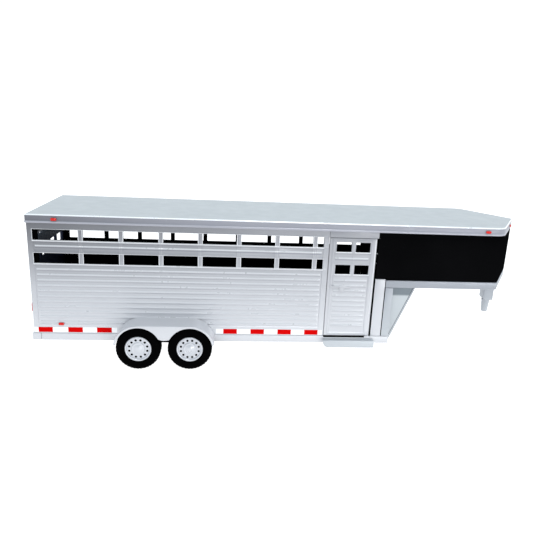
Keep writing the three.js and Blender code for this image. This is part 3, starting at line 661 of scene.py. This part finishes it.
def rivet(x, z, y, side, radius=0.55, height=0.3):
    """A small domed rivet head on a wall."""
    rings = []
    for share, rise in ((1, 0), (0.95, 0.4), (0.75, 0.75), (0.4, 0.95)):
        rings.append([
            (x + radius * share * math.cos(a), side * (y + height * rise), z + radius * share * math.sin(a))
            for a in np.linspace(0, 2 * math.pi, 14, endpoint=False)
        ])
    return loft(rings)


RIVETS = ((75.4, 33.3), (81.4, 38.1), (152.1, 38.3), (159.3, 33.0))
for side, word in ((RIGHT, "right"), (LEFT, "left")):
    bm = wall_piece(side, f"{word}_wall")
    rivets = [rivet(x, z, SKIN + FRAME_OUT - 0.05, side) for x, z in RIVETS]
    mesh = mesh_from(merged([bm, *rivets]), f"{word}_wall")
    paints = [SILVER, INNER_BLACK, HIGHLIGHT_SILVER, SHADE_SILVER]
    finish_mesh(f"{word}_wall_panel", mesh, paints, "trailer", [f"{word}_wall"], 50)


# ---------------------------------------------------------------- doors
def panel_face(panel, pockets, ribs, rib_span, holes, beads, depth, rib_out):
    """The outer height of a framed, corrugated door leaf over its skin."""
    def face(u, v):
        h = np.full_like(u, depth)
        along = depth * plateau(u, panel[0] + 0.4, panel[1] - 0.4, 0.4)
        for low, high in pockets:
            h = h - along * plateau(v, low + 0.4, high - 0.4, 0.4)
        for centre in ribs:
            h = np.maximum(h, rib_out * rib_profile(u, v, *rib_span, centre))
        for u0, u1, v0, v1, rise in beads:
            h = h + rise * plateau(u, u0, u1, 0.25) * plateau(v, v0, v1, 0.25)
        for (u0, u1), (v0, v1) in holes:
            h = h + 0.22 * plateau(u, u0 - 0.7, u1 + 0.7, 0.3) * plateau(v, v0 - SILL + 0.5, v0 - 0.3, 0.35)
            edge = np.maximum(np.maximum(u0 - u, u - u1), np.maximum(v0 - v, v - v1))
            h = h - 0.14 * (1 - smooth(edge / 0.28)) * (edge > -0.5)
        return h

    return face


def panel_lines(panel, pockets, ribs, rib_span, holes, beads):
    marks_u = []
    marks_v = []
    for edge, way in ((panel[0], 1), (panel[1], -1)):
        marks_u += [edge, edge + way * 0.2, edge + way * 0.4]
    for edge, way in ((rib_span[0], 1), (rib_span[1], -1)):
        marks_u += [edge + way * RIB_HALF * k for k in (0, 0.15, 0.35, 0.6, 1)]
    for low, high in pockets:
        marks_v += [low, low + 0.2, low + 0.4, high - 0.4, high - 0.2, high]
    for centre in ribs:
        marks_v += rib_lines(centre)
    for (u0, u1), (v0, v1) in holes:
        marks_u += [u0 - 1.0, u0 - 0.7, u0 - 0.28, u0 - 0.1, u0, u1, u1 + 0.1, u1 + 0.28, u1 + 0.7, u1 + 1.0]
        marks_v += [v0 - SILL + 0.1, v0 - SILL + 0.5, v0 - 0.3, v0 - 0.1, v0, v1, v1 + 0.1, v1 + 0.28]
    for u0, u1, v0, v1, _ in beads:
        marks_u += [u0 - 0.25, u0 - 0.1, u0, u1, u1 + 0.1, u1 + 0.25]
        marks_v += [v0 - 0.25, v0 - 0.1, v0, v1, v1 + 0.1, v1 + 0.25]
    return marks_u, marks_v


def leaf(u_span, v_span, skin, depth, back, panel, pockets, ribs, rib_span, holes, beads, where, roll=0.0):
    """One framed door leaf as a closed relief; where(u, v, w) places height w over the world's zero plane."""
    marks_u, marks_v = panel_lines(panel, pockets, ribs, rib_span, holes, beads)
    marks_u += [u_span[0] + 0.12, u_span[0] + 0.35, u_span[1] - 0.35, u_span[1] - 0.12]
    marks_u += [u_span[1] - roll * (1 - k) for k in (0, 0.3, 0.5, 0.7, 0.82, 0.9)] if roll else []
    marks_v += [v_span[0] + 0.12, v_span[0] + 0.35, v_span[1] - 0.35, v_span[1] - 0.12]
    inner = panel_face(panel, pockets, ribs, rib_span, holes, beads, depth, depth * 1.04)

    def face(u, v):
        rim = np.minimum(np.minimum(u - u_span[0], u_span[1] - u), np.minimum(v - v_span[0], v_span[1] - v))
        turned = np.clip((u - u_span[1] + roll) / max(roll, 0.01), 0, 1)
        curl = roll * 0.42 * (1 - np.sqrt(1 - turned ** 2))
        return skin + inner(u, v) - 0.22 * (1 - smooth(rim / 0.35)) - curl

    # Painted highlights (2) on rib crests, window sills and the rolled front edge; painted shade (3) under
    # ribs and sills.
    def tint(u, v):
        colours = rib_tint(u, v, *rib_span, ribs)
        for (u0, u1), (v0, v1) in holes:
            across = (u > u0 - 0.7) & (u < u1 + 0.7)
            colours[across & (v > v0 - SILL + 0.4) & (v < v0)] = 2
            colours[across & (v > v0 - SILL - 0.1) & (v < v0 - SILL + 0.4)] = 3
        colours[(u > u_span[1] - 0.7 * roll) & (v > v_span[0] + 0.3) & (v < v_span[1] - 0.3)] = 2
        return colours

    us = grid_lines(*u_span, marks_u)
    vs = grid_lines(*v_span, marks_v)
    return relief(us, vs, face, back, holes, where, tint)


def post_ring(x, y, z, radius, steps=20):
    return [(x + radius * math.cos(a), y + radius * math.sin(a), z)
            for a in np.linspace(0, 2 * math.pi, steps, endpoint=False)]


def upright(x, y, profile, steps=20):
    """A turned upright: profile is (radius, z) from its foot to its head."""
    return loft([post_ring(x, y, z, radius, steps) for radius, z in profile])


def bar(x, y, z, soft=0.15):
    """A small rounded bar between two corners."""
    bm = bmesh.new()
    bmesh.ops.create_cube(bm, size=1)
    size = Vector((x[1] - x[0], y[1] - y[0], z[1] - z[0]))
    middle = Vector((x[0] + x[1], y[0] + y[1], z[0] + z[1])) / 2
    bm.transform(Matrix.Translation(middle) @ Matrix.Diagonal((*size, 1)))
    bmesh.ops.bevel(
        bm, geom=list(bm.edges), offset=soft, segments=3, profile=0.5, affect="EDGES", clamp_overlap=True
    )
    return bm


DOOR_X, _, DOOR_Z = span_of("side_door")
DOOR_LEAF_Z = (26.0, 121.1)
DOOR_HOLES = [(u, v) for u in ((271.5, 285.5), (289.4, 302.8)) for v in ((87.0, 95.8), (108.1, 117.2))]
HINGE_AT = (307.0, -50.1)


def side_door():
    panel = (269.5, 303.5)
    ribs = [*RIB_ROWS[:10], 101.6]
    beads = [
        (268.3, 268.9, 28.0, 119.2, 0.16), (304.1, 304.7, 28.0, 119.2, 0.16),
        (268.3, 304.7, 118.7, 119.3, 0.16), (268.3, 304.7, 27.8, 28.4, 0.16),
        (266.7, 267.0, 27.4, 120.0, -0.2),
        (287.2, 287.7, 86.0, 117.6, 0.12),
    ]
    bm = leaf(
        (DOOR_X[0], DOOR_X[1]), DOOR_LEAF_Z, 51.0, 0.5, 49.5, panel, ((29.0, 85.4), (96.6, 106.5)), ribs,
        (panel[0] + 1, panel[1] - 1), DOOR_HOLES, beads, lambda u, v, w: np.stack([u, -w, v], -1), 2.4,
    )
    pins = [upright(*HINGE_AT, ((0.9, z0), (0.9, z1))) for z0, z1 in ((DOOR_Z[0], 26.1), (121.0, DOOR_Z[1]))]
    boss = upright(307.0, -50.6, ((1.9, 25.62), (2.1, 25.75), (2.1, 26.3)))
    mesh = mesh_from(merged([bm, *pins, boss]), "side_door")
    paints = [SILVER, INNER_BLACK, HIGHLIGHT_SILVER, SHADE_SILVER]
    finish_mesh("side_door_leaf", mesh, paints, "side_door", ["side_door"], 50)


def door_latch():
    """A flat handle bar with a pivot boss, in low relief on the door."""
    (x0, x1), _, (z0, z1) = span_of("side_door_latch")
    face = -51.45
    plate = bar((x0 + 8.5, x0 + 13.5), (face - 0.45, face), (z0 - 2.3, z1 + 0.9), 0.2)
    handle = bar((x0, x1), (face - 0.75, face - 0.1), (z1 - 1.3, z1), 0.25)
    keeper = bar((x0 - 0.2, x0 + 1.6), (face - 0.85, face), (z1 - 2.0, z1 + 0.5), 0.2)
    parts = merged([plate, handle, keeper])
    mesh = mesh_from(parts, "side_door_latch")
    finish_mesh("door_handle", mesh, [SILVER], "side_door", ["side_door_latch"], 35)


def eye(z0, z1, x, y, outer, inner):
    """A hinge knuckle: a short tube on end."""
    profile = (
        (inner, z0), (outer - 0.1, z0), (outer, z0 + 0.12),
        (outer, z1 - 0.12), (outer - 0.1, z1), (inner, z1),
    )
    rings = [
        [(x + r * math.cos(a), y + r * math.sin(a), z) for r, z in profile]
        for a in np.linspace(0, 2 * math.pi, 24, endpoint=False)
    ]
    rings.append(rings[0])
    return loft(rings, caps=False)


KNUCKLES = (38, 74, 110)
GATE_HINGE = (-1.1, 45.9)
GATE_RIBS = [*RIB_ROWS, 106.0]
GATE_POCKETS_TOP = (101.3, 110.6)
LOWER_PANE = SLOT_ROWS[0]


def across_gate(u, v, w):
    """Places a gate leaf's grid over the rear plane: u runs across the trailer, v up and w outward."""
    return np.stack([-w, u, v], -1)


def rear_gate():
    holes = [(u, v) for v in ((112.2, 118.0), LOWER_PANE) for u in ((1.0, 19.0), (23.0, 41.0))]
    holes.append(((-41.7, -3.7), (30.0, 117.0)))
    beads = [
        (-43.9, -43.5, 28.0, 119.2, 0.12), (-1.5, -1.1, 28.0, 119.2, 0.12), (-43.9, 43.9, 119.0, 119.5, 0.12),
    ]
    bm = leaf(
        (-45.7, 45.7), (26.1, 121.0), -0.9, 0.5, -2.4, (0.0, 43.2), ((33.9, 89.8), GATE_POCKETS_TOP),
        GATE_RIBS, (1.0, 42.2), holes, beads, across_gate,
    )
    x, y = GATE_HINGE
    eyes = [eye(z - 2.5, z + 2.5, x, y, 1.3, 1.0) for z in KNUCKLES]
    tabs = [bar((x + 0.4, 0.75), (44.3, 45.35), (z - 2.5, z + 2.5), 0.12) for z in KNUCKLES]
    flanges, webs = (2.3, 5.1), (4.4, 5.1)
    track_parts = (
        (flanges, (116.5, 117.5)), (webs, (115.1, 117.5)), (flanges, (29.5, 30.5)), (webs, (29.5, 31.9)),
    )
    tracks = [bar(depth, (-44.5, 33.5), height, 0.1) for depth, height in track_parts]
    mesh = mesh_from(merged([bm, *eyes, *tabs, *tracks]), "rear_gate")
    paints = [SILVER, GATE_INSIDE_SHADE, HIGHLIGHT_SILVER, SHADE_SILVER]
    finish_mesh("rear_gate_leaf", mesh, paints, "rear_gate", ["gate"], 50)


def sliding_leaf():
    panes = [((-31.0, -26.5), (113.0, 115.4)), ((-27.0, -20.0), LOWER_PANE), ((-13.0, -6.0), LOWER_PANE)]
    bm = leaf(
        (-43.2, -2.2), (30.8, 116.2), -3.3, 0.4, -4.1, (-40.5, -4.5), ((34.0, 89.8), GATE_POCKETS_TOP),
        GATE_RIBS, (-39.6, -5.4), panes, [], across_gate,
    )
    knob = bar((-0.2, 3.0), (-41.0, -39.0), (68.0, 78.0), 0.4)
    mesh = mesh_from(merged([bm, knob]), "gate_slider")
    paints = [SILVER, GATE_INSIDE_SHADE, HIGHLIGHT_SILVER, SHADE_SILVER]
    finish_mesh("sliding_leaf", mesh, paints, "gate_slider", ["gate_slider"], 50)


side_door()
door_latch()
rear_gate()
sliding_leaf()


def door_gap_shade():
    """A black strip on the lower rail, painted shade standing for the gap under the side door."""
    mesh = mesh_from(bar((264.7, 304.6), (-51.76, -49.0), (24.2, 25.9), 0.1), "door_gap_shade")
    finish_mesh("door_gap_painted_shade", mesh, [INNER_BLACK], "trailer", [], 35)


door_gap_shade()

# ---------------------------------------------------------------- plain mouldings
BACKWARD, FORWARD = (-1, 0, 0), (1, 0, 0)
TO_LEFT, TO_RIGHT = (0, 1, 0), (0, -1, 0)
DOWN, UP = (0, 0, -1), (0, 0, 1)
# (node, width of its rounded edges, the ways its black faces look)
MOULDINGS = [
    ("rear_sill", 0.5, ()), ("rear_header", 0.3, ()), ("deck", 0.2, ()), ("coupler_neck", 0.6, ()),
    ("door_step", 0.45, ()), ("gate_latch", 0.25, ()), ("front_wall", 0.4, (BACKWARD,)),
    ("nose_floor", 0.3, (UP,)), ("front_post", 0.35, (TO_LEFT, BACKWARD)),
    ("door_header", 0.3, (TO_LEFT, DOWN)),
]
for piece, width, dark in (
    ("rear_post", 0.3, (TO_LEFT, TO_RIGHT, FORWARD)), ("lower_rail", 0.45, ()),
    ("front_column", 0.35, (BACKWARD,)), ("gusset", 0.2, ()), ("nose_rail", 0.5, ()),
):
    MOULDINGS += [(f"right_{piece}", width, (TO_LEFT, *dark)), (f"left_{piece}", width, (TO_RIGHT, *dark))]
NOSE_PIECES = ("coupler_neck", "nose_floor", "front_wall", "column", "gusset", "nose_rail", "door_step")
for node, width, dark in MOULDINGS:
    coat = NOSE_SILVER if node.endswith(NOSE_PIECES) else SILVER
    softened(node, width, GUSSET_SHADOW if node.endswith("gusset") else coat, dark=dark)
for word in ("right", "left"):
    softened(f"{word}_nose_shell", 0.5, BLACK)
    softened(f"{word}_suspension", 0.4, BLACK)


# ---------------------------------------------------------------- fenders and wheels
WHEEL_X = {"rear": 95.3, "front": 140.7}
WHEEL_Z = 19.75
HUB_FACE = 59.8                # |y| of a wheel's inner face
FENDER_INNER = 20.8


def fender_path():
    """(x, z, outward x, outward z) along the fender's inner surface."""
    end = math.asin((24 - WHEEL_Z) / 22)
    path = []
    for a in np.linspace(math.pi - end, math.pi / 2, 26):
        path.append((WHEEL_X["rear"], WHEEL_Z, math.cos(a), math.sin(a)))
    for x in np.linspace(WHEEL_X["rear"], WHEEL_X["front"], 12)[1:-1]:
        path.append((x, WHEEL_Z, 0, 1))
    for a in np.linspace(math.pi / 2, end, 26):
        path.append((WHEEL_X["front"], WHEEL_Z, math.cos(a), math.sin(a)))
    return path


def fender(side, node):
    section = [
        (0.0, 52.0), (0.0, 71.9), (-0.2, 72.3), (-0.5, 72.6), (-0.62, 72.9), (-0.62, 73.5), (-0.52, 73.72),
        (-0.3, 73.8), (0.2, 73.8), (0.85, 73.8), (1.02, 73.76), (1.14, 73.64), (1.2, 73.45), (1.2, 71.0),
        (1.2, 65.0), (1.2, 52.0),
    ]
    rings = []
    for x, z, nx, nz in fender_path():
        radii = [(FENDER_INNER + d, y) for d, y in section]
        rings.append([(x + nx * r, side * y, z + nz * r) for r, y in radii])
    skin = loft(rings)

    lip = FENDER_INNER - 0.62
    tongue = 29.4
    reach = math.sqrt(lip ** 2 - (tongue - WHEEL_Z) ** 2)
    foot = []
    for a in np.linspace(math.pi / 2, math.asin((tongue - WHEEL_Z) / lip), 18):
        foot.append((WHEEL_X["rear"] + lip * math.cos(a), WHEEL_Z + lip * math.sin(a)))
    a0, a1 = WHEEL_X["rear"] + reach, WHEEL_X["front"] - reach
    for t in np.linspace(0, 1, 10)[1:-1]:
        foot.append((a0 + (a1 - a0) * t, tongue - 2 * t * (1 - t) * 2.4))
    foot += [(sum(WHEEL_X.values()) - x, z) for x, z in reversed(foot[:18])]
    roof_z = WHEEL_Z + FENDER_INNER + 0.8
    web = []
    for x, z in foot:
        z = min(z, roof_z - 1.0)
        web.append([
            (x, side * 72.7, roof_z), (x, side * 73.79, roof_z), (x, side * 73.79, z + 0.5),
            (x, side * 73.72, z + 0.2), (x, side * 73.5, z), (x, side * 73.0, z), (x, side * 72.7, z + 0.3),
        ])
    mesh = mesh_from(merged([skin, loft(web)]), node)
    finish_mesh(f"{node}_pressing", mesh, [SILVER], "trailer", [node], 38)


TREAD = [(19.3, 1.5), (19.62, 2.2), (19.75, 3.1)]
for groove in (4.7, 7.0, 9.3):
    TREAD += [(19.75, groove - 0.35), (19.05, groove - 0.25), (19.05, groove + 0.25), (19.75, groove + 0.35)]
TREAD += [(r, 14 - out) for r, out in reversed(TREAD[:3])]
SIDEWALL = [
    (11.85, 1.2), (12.1, 0.6), (12.6, 0.35), (13.1, 0.3), (13.3, 0.12), (14.0, 0.05), (14.3, 0.22),
    (15.9, 0.12), (16.2, 0.0), (16.6, 0.0), (16.9, 0.2), (17.8, 0.42), (18.5, 0.75), (18.9, 1.1),
]
TYRE_PROFILE = SIDEWALL + TREAD + [(r, 14 - out) for r, out in reversed(SIDEWALL)]
TYRE_STEPS = 160


def tyre_radius(i, radius, out, turn):
    """Shoulder blocks: every fourth slice of the outer tread is cut back."""
    slice_at = round(turn / (2 * math.pi) * TYRE_STEPS) % 4
    shoulder = radius > 19.2 and abs(out - 7) > 3
    return radius - 0.5 if shoulder and slice_at == 1 else radius


def spun(profile, steps, side, x, finishes=None):
    """An open (radius, outward) profile turned about a wheel's axis."""
    rings = []
    for k in range(steps + 1):
        a = 2 * math.pi * (k % steps) / steps
        c, s = math.cos(a), math.sin(a)
        rings.append([(x + r * c, side * (HUB_FACE + t), WHEEL_Z + r * s) for r, t in profile])
    return loft(rings, caps=False, ring_closed=False, finishes=finishes)


def rim(side, x):
    """A dished disc with twelve holes between a raised hub and a rolled lip."""
    outer = [
        (9.6, 11.8), (9.7, 11.85), (9.78, 12.1), (9.9, 12.7), (10.2, 13.1), (10.5, 13.32), (10.9, 13.38),
        (11.3, 13.3), (11.6, 13.0), (11.8, 12.5), (11.8, 1.3), (11.4, 0.7), (10.6, 0.7), (10.3, 1.4),
        (9.6, 3.0), (9.6, 10.6), (3.0, 10.6),
    ]
    hub = [
        (6.2, 11.8), (6.1, 11.84), (6.0, 12.0), (5.9, 12.5), (5.75, 12.78), (5.5, 12.9), (4.4, 12.95),
        (4.25, 12.85), (4.1, 12.85), (3.95, 12.98), (2.4, 13.02), (2.2, 13.15), (1.8, 13.3), (1.2, 13.36),
        (0.02, 13.38),
    ]
    parts = [spun(profile, 96, side, x) for profile in (outer, hub)]
    inner_r, outer_r, circle = 6.2, 9.6, 8.15
    vertices, faces, marks = [], [], []
    for k in range(12):
        a0 = k * math.pi / 6
        a1 = a0 + math.pi / 6
        mid = (a0 + a1) / 2
        cx, cz = circle * math.cos(mid), circle * math.sin(mid)
        edge = [(inner_r, a) for a in np.linspace(a0, a1, 9)]
        edge += [(r, a1) for r in np.linspace(inner_r, outer_r, 7)[1:]]
        edge += [(outer_r, a) for a in np.linspace(a1, a0, 9)[1:]]
        edge += [(r, a0) for r in np.linspace(outer_r, inner_r, 7)[1:-1]]
        first = len(vertices)
        for r, a in edge:
            bx, bz = r * math.cos(a), r * math.sin(a)
            length = math.hypot(bx - cx, bz - cz)
            ux, uz = (bx - cx) / length, (bz - cz) / length
            for radius, out in ((None, 11.8), (1.14, 11.8), (1.04, 11.76), (1.0, 11.62), (1.0, 10.7)):
                px, pz = (bx, bz) if radius is None else (cx + ux * radius, cz + uz * radius)
                vertices.append((x + px, side * (HUB_FACE + out), WHEEL_Z + pz))
        count = len(edge)
        for e in range(count):
            n = (e + 1) % count
            for ring in range(4):
                here, beside = first + e * 5 + ring, first + n * 5 + ring
                faces.append((here, beside, beside + 1, here + 1))
                marks.append(1 if ring > 1 else 0)
    disc = closed(vertices, faces, marks)
    backing = spun([(r, 10.75) for r in (0.02, 6.2, 9.55)], 48, side, x, finishes=[1] * 60)
    return merged([*parts, disc, backing])


for side, word in ((RIGHT, "right"), (LEFT, "left")):
    fender(side, f"{word}_fender")
    for place, x in WHEEL_X.items():
        body = f"{place}_axle_set"
        tyre = lathe(TYRE_PROFILE, (x, HUB_FACE, WHEEL_Z), TYRE_STEPS, side, tyre_radius)
        mesh = mesh_from(tyre, "tyre")
        finish_mesh(f"tyre_{word}_{place}_tread", mesh, [RUBBER], body, [f"tyre_{word}_{place}"], 40)
        mesh = mesh_from(rim(side, x), "rim")
        node = f"rim_{word}_{place}"
        finish_mesh(f"{node}_disc", mesh, [WHEEL_PAINT, INNER_BLACK], body, [node], 40)


# ---------------------------------------------------------------- trim
RED_BLOCKS = {
    "rear": ((4.2, 16.6), (30.1, 43.0), (55.5, 68.7)),
    "front": ((170.1, 182.8), (195.5, 208.2), (220.9, 233.6), (246.3, 259.2)),
}


def tape(side, word, place):
    """A stuck-on strip, white with red blocks."""
    node = f"{word}_{place}_tape"
    (x0, x1), _, (z0, z1) = span_of(node)
    low, high = SKIN + FRAME_OUT - 0.02, SKIN + FRAME_OUT + 0.16
    stations = [x0, x0 + 0.1]
    marks = [0]
    for a, b in RED_BLOCKS[place]:
        stations += [a, b]
        marks += [0, 1]
    stations += [x1 - 0.1, x1]
    marks += [0, 0]
    rings = []
    for k, x in enumerate(stations):
        inset = 0.1 if k in (0, len(stations) - 1) else 0
        rings.append([
            (x, side * low, z0 + inset), (x, side * (high - 0.05), z0 + inset),
            (x, side * high, z0 + inset + 0.08), (x, side * high, z1 - inset - 0.08),
            (x, side * (high - 0.05), z1 - inset), (x, side * low, z1 - inset),
        ])
    mesh = mesh_from(loft(rings, True, marks), node)
    finish_mesh(f"{node}_strip", mesh, [TAPE_WHITE, TAPE_RED], "trailer", [node], 30)


MARKER_SIZE = (5, 2.4, 1)      # length, height and depth


def lamp(node, size, heading):
    """A domed pill lens in a thin bezel; heading is the outward direction in the ground plane."""
    low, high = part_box(node)
    middle = (low + high) / 2 / MM
    length, height, depth = size
    out = Vector((math.cos(heading), math.sin(heading), 0))
    along = Vector((-out.y, out.x, 0))
    base = Vector((middle.x - REAR_X, middle.y, middle.z)) - out * (depth / 2 + 0.25)
    radius = min(length, height) / 2
    outline = []
    for k in range(40):
        a = 2 * math.pi * k / 40
        c, s = math.cos(a), math.sin(a)
        across = c * radius + math.copysign(length / 2 - radius, c)
        outline.append((across, s * radius + math.copysign(height / 2 - radius, s)))
    rings = []
    for share, rise in ((1, 0), (1, 0.5), (0.97, 0.72), (0.88, 0.9), (0.7, 1.05), (0.45, 1.16), (0.15, 1.22)):
        lift = out * rise * depth
        rings.append([base + along * a * share + lift + Vector((0, 0, b * share)) for a, b in outline])
    mesh = mesh_from(loft(rings), node)
    finish_mesh(f"{node}_lens", mesh, [RED_LENS], "trailer", [node], 60)


def coupler_pin():
    """A turned taper with a collar under the neck and a chamfered end."""
    low, high = span_of("coupler_pin")[2]
    x = sum(span_of("coupler_pin")[0]) / 2
    profile = [(2.6, low), (2.95, low + 0.12), (3.15, low + 0.45), (4.0, high - 2.2), (4.1, high - 1.4)]
    profile += [(4.25, high - 1.2), (4.25, high + 0.25)]
    mesh = mesh_from(upright(x, 0, profile, 56), "coupler_pin")
    finish_mesh("coupler_pin_turned", mesh, [NOSE_SILVER], "trailer", ["coupler_pin"], 40)


coupler_pin()
for side, word in ((RIGHT, "right"), (LEFT, "left")):
    sideways = side * math.pi / 2
    tape(side, word, "rear")
    tape(side, word, "front")
    for place in ("rear", "front", "side"):
        lamp(f"{word}_{place}_marker", MARKER_SIZE, sideways)
    lamp(f"{word}_nose_marker", MARKER_SIZE, side * math.atan(NOSE_SLOPE))
    lamp(f"{word}_tail_lamp", (3.2, 9, 0.9), math.pi)


def finish_node(node, material):
    """Paints a node that is shown as the part's own shape."""
    data = frame["nodes"][node].data
    data.materials.clear()
    data.materials.append(material)


FINISHES = {
    "silver_plastic": SILVER, "roof_silver": ROOF_PAINT, "black_plastic": BLACK, "tyre": RUBBER,
    "wheel_silver": WHEEL_PAINT, "axle_steel": STEEL, "red_lens": RED_LENS, "reflective_tape": TAPE_WHITE,
}
for part in frame["record"]["subparts"]:
    node = frame["nodes"][part["node"]]
    if not node.hide_render:
        finish_node(part["node"], FINISHES[part["material_slot"]])

# ---------------------------------------------------------------- stage, light and camera
FLOOR_GLOW = 1.0               # of the paper under and behind the trailer, which reads as plain white
FLOOR_DARK = 0.62              # of the paper out towards the viewer, past the lit sweep
FLOOR_FADE = (-1.5, -0.31)     # where the paper goes from dark to lit, in metres along Y
BACK_SKY = 1.18                # behind the trailer
FRONT_SKY = 0.67               # behind the viewer
SKY_FADE = (-0.95, -0.2)       # where the sky goes from front to back, as the Y of its direction
HORIZON_SKY = 1.2              # a soft white band just over the horizon, which hides the floor's far edge
HORIZON_FADE = (0.02, 0.2)     # where that band ends, as the Z of the sky's direction
IMAGE_SIZE = 533
SENSOR = 36
FOCAL_LENGTH = 551.5343        # in units of which IMAGE_SIZE make the picture's width, as is the centre
LENS_CENTRE = (283.4557, 269.0237)
EYE = (-0.0558237, -0.5339779, 0.2273486)
EYE_TURN = (0.2768976, -0.0956101, 0.0357026)   # axis times angle, from looking straight along Y


def floor():
    bm = bmesh.new()
    bmesh.ops.create_grid(bm, x_segments=1, y_segments=1, size=12)
    mesh = mesh_from(bm, "floor")
    material, tree, shader = node_tree("floor_paper")
    paper = blend_colours(tree, noise(tree, 3, 2.0), (0.34, 0.34, 0.35), (0.37, 0.37, 0.37))
    tree.links.new(paper, shader.inputs["Base Color"])
    shader.inputs["Roughness"].default_value = 0.9
    shader.inputs["Specular IOR Level"].default_value = 0.1
    shader.inputs["Emission Color"].default_value = (1, 1, 1, 1)
    glow = remap(tree, axes(tree)["Y"], *FLOOR_FADE, FLOOR_DARK, FLOOR_GLOW)
    tree.links.new(glow, shader.inputs["Emission Strength"])
    mesh.materials.append(material)
    plane = bpy.data.objects.new("floor", mesh)
    bpy.context.scene.collection.objects.link(plane)


def softbox(name, place, target, size, power, colour=(1, 1, 1), spread=180):
    light = bpy.data.lights.new(name, "AREA")
    light.shape = "RECTANGLE"
    light.size, light.size_y = size
    light.energy = power
    light.color = colour
    light.spread = math.radians(spread)
    lamp = bpy.data.objects.new(name, light)
    lamp.location = place
    lamp.rotation_mode = "QUATERNION"
    lamp.rotation_quaternion = (Vector(target) - Vector(place)).to_track_quat("-Z", "Y")
    bpy.context.scene.collection.objects.link(lamp)


def sky():
    world = bpy.data.worlds.new("studio")
    world.use_nodes = True
    tree = world.node_tree
    shade = tree.nodes["Background"]
    way = axes(tree, "Generated")
    backward = remap(tree, way["Y"], *SKY_FADE, FRONT_SKY, BACK_SKY)
    shade.inputs["Color"].default_value = (0.86, 0.94, 1, 1)
    strength = tree.nodes.new("ShaderNodeMix")
    tree.links.new(remap(tree, way["Z"], *HORIZON_FADE, 1, 0), strength.inputs["Factor"])
    tree.links.new(backward, strength.inputs["A"])
    strength.inputs["B"].default_value = HORIZON_SKY
    tree.links.new(strength.outputs["Result"], shade.inputs["Strength"])
    bpy.context.scene.world = world


def camera():
    data = bpy.data.cameras.new("camera")
    data.sensor_width = SENSOR
    data.lens = FOCAL_LENGTH * SENSOR / IMAGE_SIZE
    data.shift_x = (IMAGE_SIZE / 2 - LENS_CENTRE[0]) / IMAGE_SIZE
    data.shift_y = (LENS_CENTRE[1] - IMAGE_SIZE / 2) / IMAGE_SIZE
    data.clip_start, data.clip_end = 0.01, 60
    eye = bpy.data.objects.new("camera", data)
    turn = Vector(EYE_TURN)
    look = Matrix.Rotation(turn.length, 3, turn.normalized()) @ Matrix(((1, 0, 0), (0, 0, -1), (0, 1, 0)))
    right, down, forward = look
    eye.matrix_world = Matrix.Translation(EYE) @ Matrix((right, -down, -forward)).transposed().to_4x4()
    bpy.context.scene.collection.objects.link(eye)
    bpy.context.scene.camera = eye


floor()
softbox("key_light", (0.15, -0.45, 1.1), (0.05, -0.03, 0.08), (0.3, 0.3), 4.5, (1, 0.995, 0.98))
softbox("front_light", (0.55, -0.8, 0.03), (0.12, 0, 0.0), (0.7, 0.1), 0.16, (1, 0.99, 0.97), 40)
sky()
camera()
bpy.context.scene.view_settings.view_transform = "Standard"
